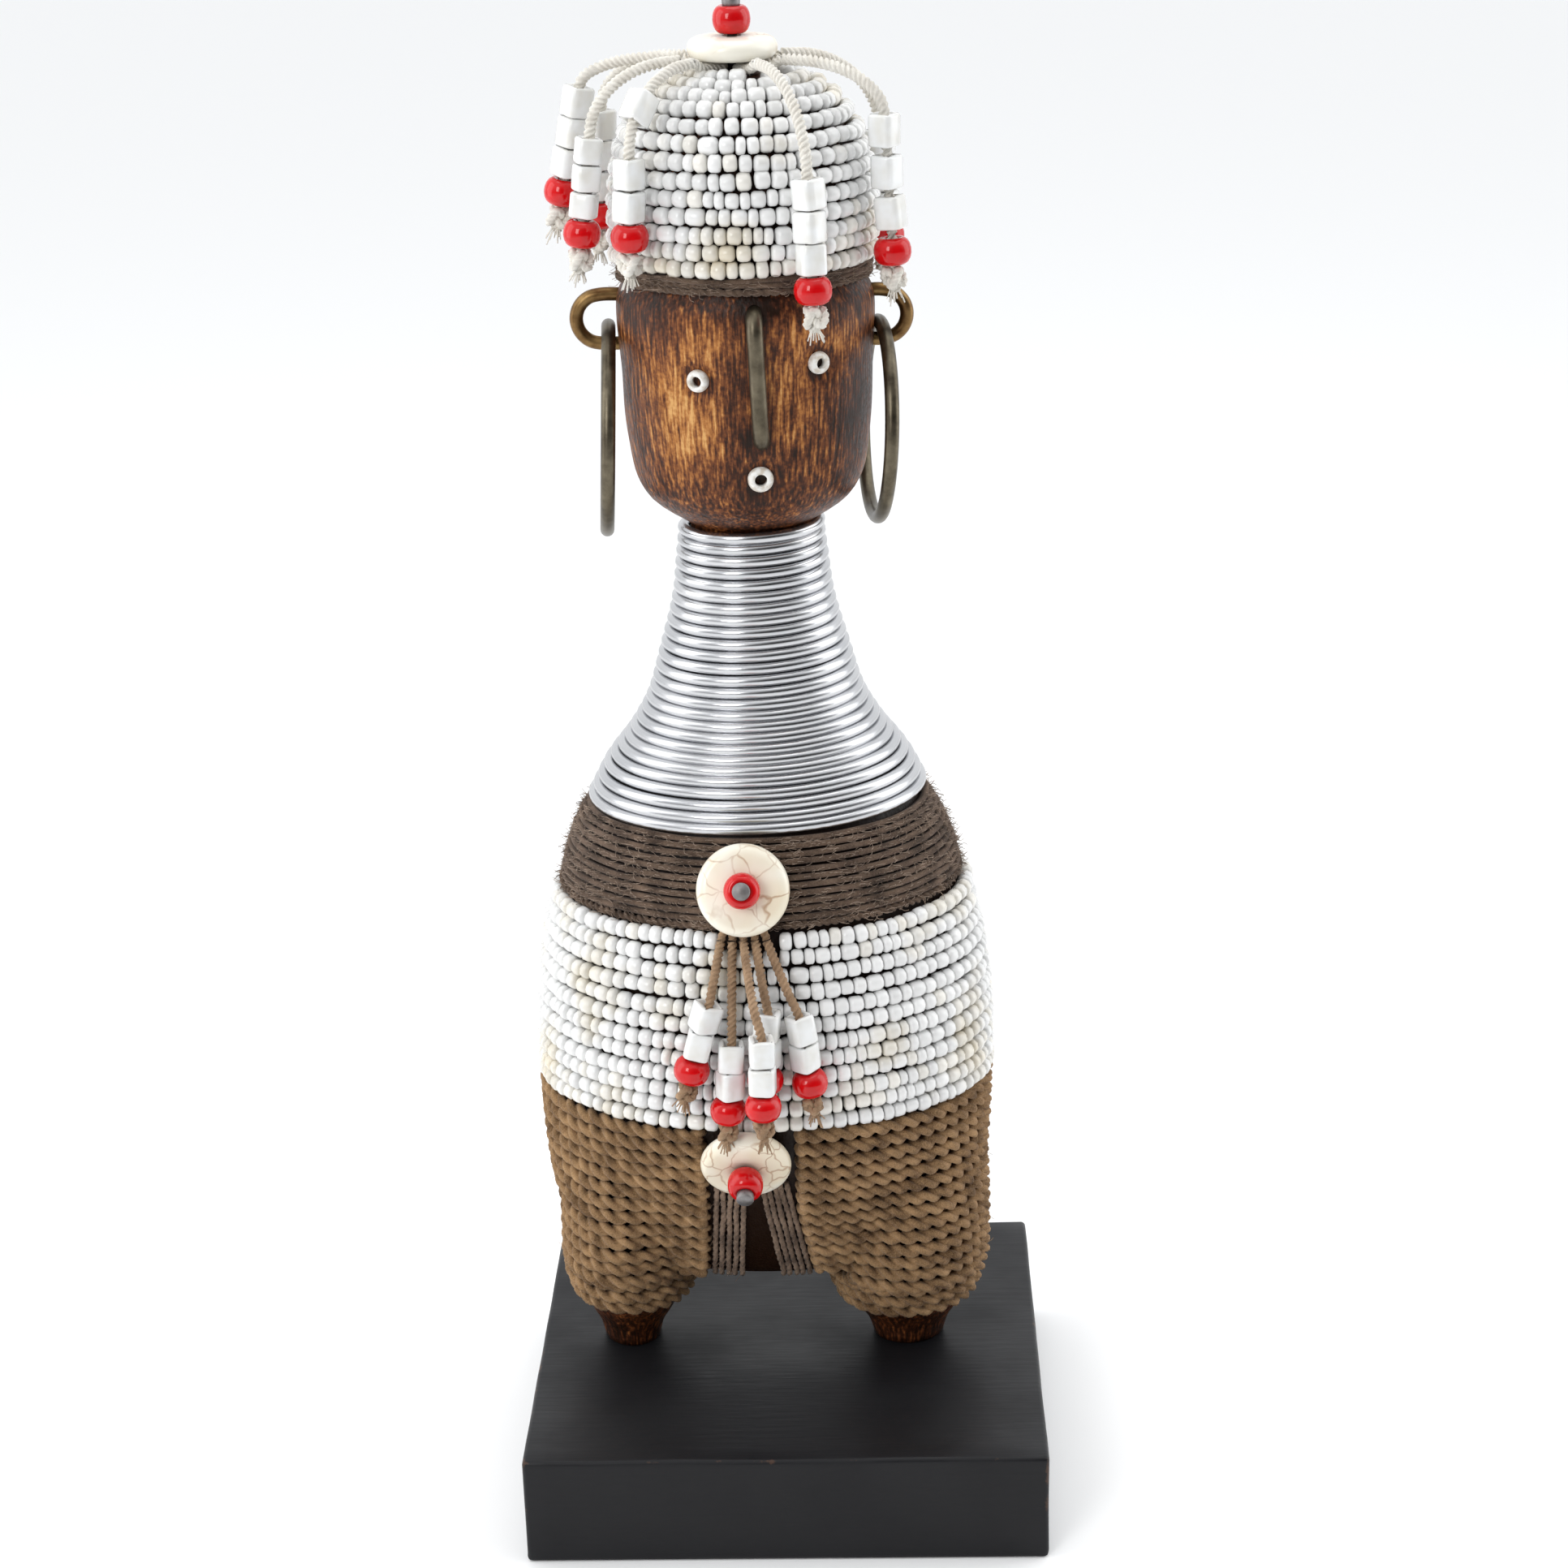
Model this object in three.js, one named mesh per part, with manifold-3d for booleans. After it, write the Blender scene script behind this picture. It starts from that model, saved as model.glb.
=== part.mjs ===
// A beaded fertility doll on a display block. One wood carving (head, long neck, body and two legs) is
// dressed with wound wire, yarn, rope and seed beads, and hung with hoop earrings and bead tassels.
// Millimetres, +Z up. The origin is the middle of the block's underside, and -Y is the doll's front.
// Everything on the doll is placed in the doll's own frame, which stands on top of the block.
import * as THREE from "three";
import { mergeVertices } from "three/addons/utils/BufferGeometryUtils.js";
import Module from "manifold-3d";

const wasm = await Module();
wasm.setup();
const vec = (x = 0, y = 0, z = 0) => new THREE.Vector3(x, y, z);
const radians = THREE.MathUtils.degToRad;

// ---- driving dimensions ----
const GAP = 0.3; // air left between two pieces that touch
const BLOCK = { width: 100, depth: 96, height: 22, bevel: 0.8 };
const STAND = { x: -3.3, y: 2 }; // where the doll's axis stands on the block
const CROWN_X = -1.1; // and its crown disc sits a little left too
const FRONT = -2.7; // the doll's front line runs a little left of its axis
const SEED = 3.1; // seed bead diameter
const WIRE = 2.2; // neck wire diameter
const ROPE = 3.1; // leg rope diameter
const YARN = 1.3; // shoulder and crotch yarn
const WRAPS = { rope: [8, 60], beads: [60.3, 99.7], yarn: [100, 115.6], wire: [115.9, 171.3] };
const CAP_RIM = 220.4; // lowest edge of the bead cap
const BROW = [216, 220.1]; // yarn between the face and the cap
const NAIL = { shank: 0.9, head: 1.7, headHeight: 1.2 };

// The carving's outline: [height, half width, half depth], from the crotch to the top of the head.
const CARVING = [
  [20, 26, 12.5], [27, 36.5, 17], [36, 39.8, 21.5], [46, 40.9, 26], [58, 41.4, 29.6], [72, 41.4, 31.6],
  [86, 40, 31], [99, 37.4, 29], [107, 35.4, 27.7], [112, 33.4, 26.4], [117, 30.4, 24.6], [123.5, 27, 22.2],
  [130, 22.1, 18.7], [137, 18.2, 15.6], [146, 15.5, 13.4], [156, 12.8, 11.2], [163, 11.9, 10.5],
  [171.2, 11.4, 10.1], [172, 13, 11.6], [176, 18.6, 16.5], [180, 20.9, 18.5], [187, 22.2, 19.7],
  [199, 23, 20.4], [213.5, 23.3, 20.8], [217, 21.6, 19.3], [230, 21.3, 19.1], [239, 20, 18],
  [244.5, 17.6, 15.9], [248.6, 12.9, 11.8], [251, 7.5, 7],
];
// A leg from its foot up into the hips, in the same form, and where each foot stands.
const LEG = [
  [0, 5.4, 6.6], [4, 6.3, 7.2], [7.5, 8.1, 9], [11.5, 11.3, 12], [17, 13.3, 15], [25, 13.8, 17.2],
  [35, 14, 18.5], [48, 13.5, 19.5], [58, 12, 19],
];
const LEGS = {
  left: { foot: -28.7, lean: 2.5, sole: 1.05, stout: 0.81, ankle: 10.2 },
  right: { foot: 27.5, lean: -1.6, sole: 1.3, stout: 1.02, ankle: 8.6 },
};

// ---- materials ----
function finish(color, roughness, metalness = 0) {
  return new THREE.MeshStandardMaterial({ color, roughness, metalness });
}
const BLACK_PAINT = finish(0x171719, 0.5);
const CARVED_WOOD = finish(0x6b3f1f, 0.6);
const ALUMINIUM = finish(0xc9cbce, 0.3, 1);
const DARK_YARN = finish(0x4a3a30, 0.95);
const LEG_ROPE = finish(0x8a6a48, 0.9);
const WHITE_COTTON = finish(0xece6d8, 0.9);
const BROWN_COTTON = finish(0x7d6248, 0.9);
const WHITE_GLASS = finish(0xefefee, 0.3);
const RED_GLASS = finish(0xc41414, 0.15);
const STONE = finish(0xf0e6d2, 0.35);
const AGED_BRASS = finish(0x5d5040, 0.45, 1);
const STEEL = finish(0x707274, 0.45, 1);

// ---- from a three.js geometry to a solid that can be joined and cut, and back ----
const SLIVER = 0.01; // joining and cutting leave splinters narrower than this, which are taken off
function solidOf(geometry) {
  const plain = geometry.index ? geometry.toNonIndexed() : geometry.clone();
  plain.deleteAttribute("normal");
  plain.deleteAttribute("uv");
  const merged = mergeVertices(plain, 1e-4);
  const vertProperties = new Float32Array(merged.attributes.position.array);
  const triVerts = new Uint32Array(merged.index.array);
  return new wasm.Manifold(new wasm.Mesh({ numProp: 3, vertProperties, triVerts }));
}

function geometryOf(solid) {
  const mesh = solid.simplify(SLIVER).getMesh();
  const points = new Float32Array(mesh.numVert * 3);
  for (let i = 0; i < mesh.numVert; i++) {
    const start = i * mesh.numProp;
    points.set(mesh.vertProperties.subarray(start, start + 3), i * 3);
  }
  const geometry = new THREE.BufferGeometry();
  geometry.setAttribute("position", new THREE.BufferAttribute(points, 3));
  geometry.setIndex(new THREE.BufferAttribute(new Uint32Array(mesh.triVerts), 1));
  geometry.computeVertexNormals();
  return geometry;
}

function box([x0, x1], [y0, y1], [z0, z1]) {
  const block = new THREE.BoxGeometry(x1 - x0, y1 - y0, z1 - z0);
  return solidOf(block.translate((x0 + x1) / 2, (y0 + y1) / 2, (z0 + z1) / 2));
}

const FAR = 80; // past the doll's outside on every side
function slab(bottom, top) {
  return box([-FAR, FAR], [-FAR, FAR], [bottom, top]);
}

// A cylinder along +Z from the origin.
function rod(radius, length, sides = 12) {
  const upright = new THREE.CylinderGeometry(radius, radius, length, sides);
  return upright.rotateX(Math.PI / 2).translate(0, 0, length / 2);
}

// A profile of [radius, height] points turned round +Z. It closes on itself, and runs anticlockwise.
function turned(profile, sides) {
  const points = [...profile, profile[0]].map(([r, z]) => new THREE.Vector2(r, z));
  return new THREE.LatheGeometry(points, sides).rotateX(Math.PI / 2);
}

// A round tube along a curve.
function tube(curve, radius, steps, sides = 8) {
  const section = new THREE.Shape().absarc(0, 0, radius, 0, 2 * Math.PI);
  return new THREE.ExtrudeGeometry(section, { steps, extrudePath: curve, curveSegments: sides / 2 });
}

// The frame of something fixed at a point of the doll, with its own +Z along the given direction.
function aimed(point, direction) {
  const along = direction.clone().normalize();
  const turn = new THREE.Quaternion().setFromUnitVectors(vec(0, 0, 1), along);
  return new THREE.Matrix4().compose(point, turn, vec(1, 1, 1));
}

// ---- the carving, and the same shape grown outwards for what is wound on it ----
const outlineCurve = (outline) =>
  new THREE.CatmullRomCurve3(outline.map(([z, w, d]) => vec(w, d, z)), false, "centripetal");

// A closed oval body through an outline. Each level is pushed out by grow along the outline's normal.
function ovalBody(outline, sides, grow = 0) {
  const curve = outlineCurve(outline);
  const levels = outline.length - 1;
  const body = new THREE.CylinderGeometry(1, 1, 1, sides, levels).rotateX(Math.PI / 2);
  const place = body.attributes.position;
  for (let i = 0; i < place.count; i++) {
    const t = Math.min(1, Math.max(0, Math.round((place.getZ(i) + 0.5) * levels) / levels));
    const at = curve.getPoint(t);
    const along = curve.getTangent(t);
    const length = Math.hypot(along.x, along.z);
    const out = (grow * along.z) / length;
    place.setX(i, place.getX(i) * (at.x + out));
    place.setY(i, place.getY(i) * (at.y + out));
    place.setZ(i, at.z - (grow * along.x) / length);
  }
  return body;
}

function leg({ foot, lean, sole, stout }, grow) {
  const body = ovalBody(LEG.map(([z, w, d]) => [z, z < 8 ? w * sole : w * stout, d]), 16, grow);
  return solidOf(body.rotateY(radians(lean)).translate(foot, 0, 0));
}

const BODY_SIDES = 24;
const body = (grow) => solidOf(ovalBody(CARVING, BODY_SIDES, grow));
// The neck runs on straight into the head, so that its wire can be wound up to the chin.
const neckOutline = [...CARVING.filter(([z]) => z < 172), [176, 11.4, 10.1]];
const neck = (grow) => solidOf(ovalBody(neckOutline, BODY_SIDES, grow));
const figure = (grow) => body(grow).add(leg(LEGS.left, grow)).add(leg(LEGS.right, grow));

// A winding of the given thickness on the carving, between two heights.
function winding(shape, thickness, [bottom, top]) {
  return shape(GAP + thickness).subtract(shape(GAP)).intersect(slab(bottom, top));
}

// The half depth or half width of the bare carving at a height, read off its outline.
function carvingAt(height, which) {
  const above = CARVING.findIndex(([z]) => z >= height);
  const [z0, ...low] = CARVING[above - 1];
  const [z1, ...high] = CARVING[above];
  return THREE.MathUtils.mapLinear(height, z0, z1, low[which], high[which]);
}
const halfWidth = (height) => carvingAt(height, 0);
const halfDepth = (height) => carvingAt(height, 1);

// A point on an oval round the axis, azimuth degrees from the front towards the doll's +X side.
function onOval(azimuth, width, depth, height) {
  const a = radians(azimuth);
  const reach = 1 / Math.hypot(Math.sin(a) / width, Math.cos(a) / depth);
  return vec(Math.sin(a) * reach, -Math.cos(a) * reach, height);
}

const block = new THREE.Group();
const doll = new THREE.Group();
doll.position.set(STAND.x, STAND.y, BLOCK.height);

function piece(name, shape, material, group = doll) {
  const mesh = new THREE.Mesh(shape.isBufferGeometry ? shape : geometryOf(shape), material);
  mesh.name = name;
  group.add(mesh);
  return mesh;
}

// ---- discs pinned by a nail through a red bead: crown, chest and lower belly ----
const DISC = { radius: 8.6, thickness: 4 };
const RED = { radius: 3.4, height: 5, hole: 1.15 };

function discShape({ radius, thickness }) {
  const rim = radius * 0.8;
  return turned([
    [1.2, 0], [rim, 0], [radius * 0.95, thickness * 0.2], [radius, thickness * 0.5],
    [radius * 0.95, thickness * 0.8], [rim, thickness], [1.2, thickness],
  ], 20);
}

function redBead({ radius, height, hole }, sides = 12) {
  const quarter = Math.PI / 4;
  const outside = [-2, -1, 0, 1, 2].map((step) => [
    hole + (radius - hole) * Math.cos(step * quarter),
    (height / 2) * (1 + Math.sin(step * quarter)),
  ]);
  return turned(outside, sides);
}

// The fixing's frame sits at the disc's back face. The nail reaches this far behind it.
const NAIL_REACH = 14;
const PINNED = {
  crown: {
    disc: { radius: 8.1, thickness: 4.2 },
    frame: aimed(vec(CROWN_X, 0, 254.9), vec(0, 0, 1)),
  },
  chest: {
    disc: DISC,
    frame: aimed(vec(FRONT + 0.5, -31.2, 108.9), vec(0, -Math.cos(0.35), Math.sin(0.35))),
  },
  belly: {
    disc: DISC,
    frame: aimed(vec(FRONT - 0.5, -30.7, 54.5), vec(0, -Math.cos(0.44), -Math.sin(0.44))),
  },
};

function nailHole({ frame }) {
  const bore = rod(NAIL.shank + GAP, 2 * NAIL_REACH, 12);
  return solidOf(bore.translate(0, 0, -NAIL_REACH).applyMatrix4(frame));
}
const joined = (solids) => solids.reduce((sum, solid) => sum.add(solid));
const nailHoles = joined(Object.values(PINNED).map(nailHole));

for (const [place, { disc, frame }] of Object.entries(PINNED)) {
  const beadBack = disc.thickness + GAP;
  const headBack = beadBack + RED.height + GAP;
  const reach = NAIL_REACH - 1;
  const nail = solidOf(rod(NAIL.shank, reach + headBack + 0.5, 10).translate(0, 0, -reach))
    .add(solidOf(rod(NAIL.head, NAIL.headHeight, 12).translate(0, 0, headBack)));
  piece(`${place}_disc`, discShape(disc).applyMatrix4(frame), STONE);
  piece(`${place}_red_bead`, redBead(RED, 14).translate(0, 0, beadBack).applyMatrix4(frame), RED_GLASS);
  piece(`${place}_nail`, geometryOf(nail).applyMatrix4(frame), STEEL);
}

// ---- the face: two eye beads, a mouth bead and a bent-wire nose ----
const FACE_BEADS = {
  eye_bead_left: { x: -8.2, z: 201.3, radius: 2.05 },
  eye_bead_right: { x: 13.5, z: 203.7, radius: 2.05 },
  mouth_bead: { x: 2.6, z: 183.1, radius: 2.35 },
};
const FACE_BEAD = { depth: 2.4, proud: 0.9 };
function faceBead([name, { x, z, radius }]) {
  const width = halfWidth(z);
  const depth = halfDepth(z);
  const y = -depth * Math.sqrt(1 - (x / width) ** 2);
  const outwards = vec(x / width ** 2, y / depth ** 2, 0);
  const frame = aimed(vec(x, y, z), outwards);
  const inset = FACE_BEAD.proud - FACE_BEAD.depth;
  const ring = redBead({ radius, height: FACE_BEAD.depth, hole: radius * 0.4 }, 12);
  piece(name, ring.translate(0, 0, inset).applyMatrix4(frame), WHITE_GLASS);
  const socket = rod(radius + GAP, FACE_BEAD.depth + 3, 14).translate(0, 0, inset - GAP);
  return solidOf(socket.applyMatrix4(frame));
}
const sockets = joined(Object.entries(FACE_BEADS).map(faceBead));

// The nose is a thick wire whose two ends turn back into the face.
const NOSE = { radius: 1.5, x: 2.6, top: 213.6, bottom: 190, proud: 1.3, root: 5 };
function noseCurve(root) {
  const { x, top, bottom, proud } = NOSE;
  const face = (z) => -halfDepth(Math.min(z, 213)) - proud;
  const inside = (z) => -halfDepth(Math.min(z, 213)) + root;
  return new THREE.CatmullRomCurve3([
    vec(x - 0.4, inside(top), top),
    vec(x - 0.4, face(top) + 2, top - 0.1),
    vec(x - 0.3, face(top), top - 2.4),
    vec(x, face(202), (top + bottom) / 2),
    vec(x + 0.3, face(bottom), bottom + 2.4),
    vec(x + 0.4, face(bottom) + 2, bottom + 0.1),
    vec(x + 0.4, inside(bottom), bottom),
  ], false, "centripetal");
}
piece("nose_staple", tube(noseCurve(NOSE.root), NOSE.radius, 14), AGED_BRASS);
const noseRoots = solidOf(tube(noseCurve(NOSE.root + 1), NOSE.radius + GAP, 14));

// ---- ears: a wire staple at each side, and a hoop that hangs in it and swings ----
const EAR = { wire: 1.25, top: 213.3, bottom: 204.3, root: 17 };
const HOOP = { wire: 1.3, lean: 2.7 };
const EARS = {
  left: { side: -1, reach: 26.4, turn: 4.2, hoop: 18.7, x: 25.1 },
  right: { side: 1, reach: 24.8, turn: 8, hoop: 17.9, x: 24.5 },
};

function earCurve({ side, reach }, root) {
  const middle = (EAR.top + EAR.bottom) / 2;
  const bend = (EAR.top - EAR.bottom) / 2;
  const points = [vec(side * root, 0, EAR.top), vec(side * 22, 0, EAR.top)];
  for (let step = 0; step <= 6; step++) {
    const a = Math.PI * (0.5 - step / 6);
    points.push(vec(side * (reach + bend * Math.cos(a)), 0, middle + bend * Math.sin(a)));
  }
  points.push(vec(side * 22, 0, EAR.bottom), vec(side * root, 0, EAR.bottom));
  return new THREE.CatmullRomCurve3(points, false, "centripetal");
}

// Makes one ear's two pieces, and gives back what is bored out of the head for the staple.
function earAndHoop([name, ear]) {
  piece(`ear_loop_${name}`, tube(earCurve(ear, EAR.root), EAR.wire, 14), AGED_BRASS);
  const ring = new THREE.TorusGeometry(ear.hoop, HOOP.wire, 8, 24).rotateY(Math.PI / 2);
  const hoop = ring.translate(0, 0, -ear.hoop).rotateY(radians(HOOP.lean)).rotateZ(radians(ear.turn));
  const earring = piece(`earring_${name}`, hoop, AGED_BRASS);
  earring.position.set(ear.side * ear.x, 0, EAR.bottom + EAR.wire + GAP + HOOP.wire);
  return solidOf(tube(earCurve(ear, EAR.root - 1), EAR.wire + GAP, 14));
}
const earHoles = joined(Object.entries(EARS).map(earAndHoop));

// ---- the carving itself ----
const FOOT_NAIL = { radius: 1.2, head: 2.8, reach: 11, recess: 3 };
// Makes the nail up into one foot, and gives back what is bored out for it and its sunk head.
function footNail([name, { foot }]) {
  const shank = rod(FOOT_NAIL.radius, BLOCK.height - FOOT_NAIL.recess + FOOT_NAIL.reach, 10);
  const head = rod(FOOT_NAIL.head, 1.5, 12);
  const nail = solidOf(shank).add(solidOf(head));
  const mesh = piece(`foot_nail_${name}`, nail, STEEL);
  mesh.position.set(foot, 0, FOOT_NAIL.recess - BLOCK.height);
  const below = -BLOCK.height - 1;
  const hole = rod(FOOT_NAIL.radius + GAP, 2 * BLOCK.height, 12).translate(foot, 0, below);
  const sunk = rod(FOOT_NAIL.head + GAP, FOOT_NAIL.recess + 2.5 + GAP, 14).translate(foot, 0, below);
  return solidOf(hole).add(solidOf(sunk));
}
const footNails = joined(Object.entries(LEGS).map(footNail));
const footRoots = footNails.intersect(slab(-1, FOOT_NAIL.reach + 2 * GAP));

const carving = figure(0).intersect(slab(GAP, FAR * 4))
  .subtract(nailHoles).subtract(sockets).subtract(noseRoots).subtract(earHoles).subtract(footRoots);
piece("carved_figure", carving, CARVED_WOOD);

// ---- the display block ----
const { width, depth, height, bevel } = BLOCK;
const outline = new THREE.Shape();
outline.moveTo(-width / 2 + bevel, -depth / 2 + bevel);
outline.lineTo(width / 2 - bevel, -depth / 2 + bevel);
outline.lineTo(width / 2 - bevel, depth / 2 - bevel);
outline.lineTo(-width / 2 + bevel, depth / 2 - bevel);
outline.closePath();
const edges = { bevelEnabled: true, bevelThickness: bevel, bevelSize: bevel, bevelSegments: 1 };
const board = new THREE.ExtrudeGeometry(outline, { depth: height - 2 * bevel, ...edges });
const nailed = footNails.translate([STAND.x, STAND.y, height]);
const drilled = solidOf(board.translate(0, 0, bevel)).subtract(nailed);
piece("display_block", drilled, BLACK_PAINT, block);

// ---- what is wound on the carving ----
// The bare strip between the two rope windings: its sides, measured from the front line.
const STRIP = { left: { top: 8.6, bottom: 9.8 }, right: { top: 9.4, bottom: 13 }, high: 40, low: 16 };
function prism(points, front, back) {
  const shape = new THREE.Shape(points.map(([x, z]) => new THREE.Vector2(x, z)));
  const cut = new THREE.ExtrudeGeometry(shape, { depth: back - front, bevelEnabled: false });
  return solidOf(cut.rotateX(Math.PI / 2).translate(0, back, 0));
}
const stripSide = ({ top, bottom }, side) => [
  [FRONT + side * bottom, 0], [FRONT + side * bottom, STRIP.low],
  [FRONT + side * top, STRIP.high], [FRONT + side * top, 70],
];
const strip = prism([...stripSide(STRIP.right, 1), ...stripSide(STRIP.left, -1).reverse()], -FAR, FAR);
const bothRopes = winding(figure, ROPE, WRAPS.rope).subtract(strip);
const leftHip = box([-FAR, FRONT], [-FAR, FAR], [LEGS.left.ankle, FAR]);
const rightHip = box([FRONT, FAR], [-FAR, FAR], [LEGS.right.ankle, FAR]);
piece("rope_winding_left", bothRopes.intersect(leftHip), LEG_ROPE);
piece("rope_winding_right", bothRopes.intersect(rightHip), LEG_ROPE);

const notch = box([FRONT - 5, FRONT + 6], [-FAR, 0], [92.6, 101]);
piece("bead_band", winding(body, SEED, WRAPS.beads).subtract(notch), WHITE_GLASS);
piece("shoulder_yarn", winding(body, YARN, WRAPS.yarn).subtract(nailHoles), DARK_YARN);
piece("neck_wire", winding(neck, WIRE, WRAPS.wire), ALUMINIUM);
piece("brow_yarn", winding(body, 2, BROW), DARK_YARN);

const CROWN_HOLE = 9.1;
const crownWell = solidOf(rod(CROWN_HOLE, 20, 20).translate(CROWN_X, 0, 240));
const capShell = winding(body, SEED, [CAP_RIM, FAR * 4]).subtract(crownWell);
piece("bead_cap", capShell, WHITE_GLASS);

// Two flat bundles of yarn run from under the belly disc, down between the legs and up the back.
const bundle = winding(body, YARN, [15, 46.5]).subtract(nailHoles);
const BUNDLES = {
  left: [[-0.4, 50], [-6.8, 50], [-9.3, 14], [-2.4, 14]],
  right: [[5.8, 14], [12.3, 14], [7, 50], [1, 50]],
};
for (const [name, run] of Object.entries(BUNDLES)) {
  const path = prism(run.map(([x, z]) => [FRONT + x, z]), -FAR, FAR);
  piece(`crotch_yarn_${name}`, bundle.intersect(path), DARK_YARN);
}

// ---- tassels: a cord, its knot, and the beads threaded on it ----
const TUBE_BEAD = { radius: 2.85, length: 5.6 };
const TASSEL_RED = { radius: 3.4, height: 5.3 };

// A stack of tube beads with a red bead under it, hanging along -Z from the origin, bored for the cord.
// pitch is from one tube bead's top to the next one's.
function beadStack(count, pitch, cord) {
  const bore = cord + 0.35;
  const tubes = -count * pitch;
  const bottom = tubes - TASSEL_RED.height;
  return turned([
    [bore, bottom], [TASSEL_RED.radius * 0.75, bottom],
    [TASSEL_RED.radius, bottom + TASSEL_RED.height * 0.4], [TASSEL_RED.radius * 0.9, tubes - 0.4],
    [TUBE_BEAD.radius, tubes], [TUBE_BEAD.radius, 0], [bore, 0],
  ], 10);
}

// The cord follows its route, and a knot under the last bead ends it.
function knottedCord(points, radius, steps, knotRadius) {
  const curve = new THREE.CatmullRomCurve3(points, false, "centripetal");
  const end = points.at(-1);
  const knot = new THREE.SphereGeometry(knotRadius, 8, 4).translate(end.x, end.y, end.z);
  return solidOf(tube(curve, radius, steps)).add(solidOf(knot));
}

// One more tube bead, loose on the bare cord at a share of the way along its route.
function looseBead(name, route, share) {
  const curve = new THREE.CatmullRomCurve3(route, false, "centripetal");
  const hollow = TUBE_BEAD.radius * 0.6;
  const half = TUBE_BEAD.length / 2;
  const section = [[hollow, -half], [TUBE_BEAD.radius, -half], [TUBE_BEAD.radius, half], [hollow, half]];
  const place = aimed(curve.getPointAt(share), curve.getTangentAt(share));
  piece(`${name}_loose_bead`, turned(section, 10).applyMatrix4(place), WHITE_GLASS);
}

// Hangs a tassel: the route leads to the top of its beads, and the beads and knot follow straight on.
function tassel(name, route, lean, { count, pitch = TUBE_BEAD.length, cord, knot, cotton, steps }) {
  const top = route.at(-1);
  const down = lean.clone().normalize();
  const stack = count * pitch + TASSEL_RED.height;
  const on = (distance) => top.clone().addScaledVector(down, distance);
  const points = [...route, on(stack / 2), on(stack + GAP + knot * 0.8)];
  piece(`${name}_cord`, knottedCord(points, cord, steps, knot), cotton);
  const turn = new THREE.Quaternion().setFromUnitVectors(vec(0, 0, -1), down);
  const beads = piece(`${name}_beads`, beadStack(count, pitch, cord), WHITE_GLASS);
  beads.position.copy(top);
  beads.quaternion.copy(turn);
}

// Crown tassels leave from under the crown disc all round and arch out over the cap. Each hangs where its
// beads touch the cap. lean is how far out of plumb its beads stand, in degrees.
const CROWN = { exit: 9.6, height: 255.2, cord: 1.05, knot: 2 };
const CROWN_TASSELS = [
  { azimuth: -44.7, top: 240.8, lean: 2, count: 2, loose: 0.62 },
  { azimuth: -72.4, top: 242.9, lean: 7, count: 3, pitch: 4.8 },
  { azimuth: -100, top: 250, lean: 12, count: 3, out: 1.5 },
  { azimuth: -116.7, top: 244.7, lean: 4, count: 3, out: 1.5 },
  { azimuth: 27.6, top: 237.5, lean: 4, count: 3 },
  { azimuth: 68, top: 246.4, lean: 3, count: 3, pitch: 7.2 },
  { azimuth: 115.2, top: 240.2, lean: 3, count: 3 },
  { azimuth: 170, top: 240, lean: 2, count: 3 },
];
const crownAxis = vec(CROWN_X, 0, 0);

CROWN_TASSELS.forEach(({ azimuth, top, lean, count, pitch, out = 0, loose }, index) => {
  const name = `crown_tassel_${index + 1}`;
  const outside = SEED + GAP + TUBE_BEAD.radius + GAP + out;
  const hang = onOval(azimuth, halfWidth(226) + outside, halfDepth(226) + outside, top);
  const start = onOval(azimuth, CROWN.exit, CROWN.exit, CROWN.height).add(crownAxis);
  const route = [start];
  for (const share of [0.2, 0.4, 0.6, 0.8]) {
    const quarter = (share * Math.PI) / 2;
    const across = Math.sin(quarter);
    const drop = (1 - Math.cos(quarter)) * (CROWN.height - top);
    const height = CROWN.height + 0.8 * (across - across ** 3) - drop;
    route.push(vec().lerpVectors(start, hang, across).setZ(height));
  }
  route.push(hang);
  const outwards = vec(hang.x, hang.y, 0).normalize();
  const down = outwards.multiplyScalar(Math.tan(radians(lean))).setZ(-1);
  const form = { count, pitch, cord: CROWN.cord, knot: CROWN.knot, cotton: WHITE_COTTON, steps: 11 };
  tassel(name, route, down, form);
  if (loose) looseBead(name, route, loose);
});
const crossing = turned([[1.3, 251.4], [7.6, 251.4], [8.1, 252.9], [7.6, 254.3], [1.3, 254.3]], 16);
piece("crown_cord_crossing", crossing.translate(CROWN_X, 0, 0), WHITE_COTTON);

// Belly tassels leave from under the chest disc and lie side by side down the belly. The last one hangs
// behind the third. x is where each leaves and where its beads hang, and out how far they stand off.
const BELLY = { height: 99, depth: -32.2, cord: 0.9, knot: 1.7 };
const BELLY_TASSELS = [
  { from: -3.9, x: -8.8, top: 89, low: -4.4, out: 37.8, count: 2 },
  { from: -1.8, x: -4.9, top: 81.2, low: -1.2, out: 37.9, count: 2 },
  { from: 0.3, x: 0.9, top: 85.6, low: 0, out: 45.8, count: 2, bulge: 3.8 },
  { from: 4.6, x: 7.5, top: 86.4, low: 2.2, out: 37.6, count: 2 },
  { from: 2.5, x: 1.9, top: 87.8, low: -0.8, out: 38.9, count: 2 },
];

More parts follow.
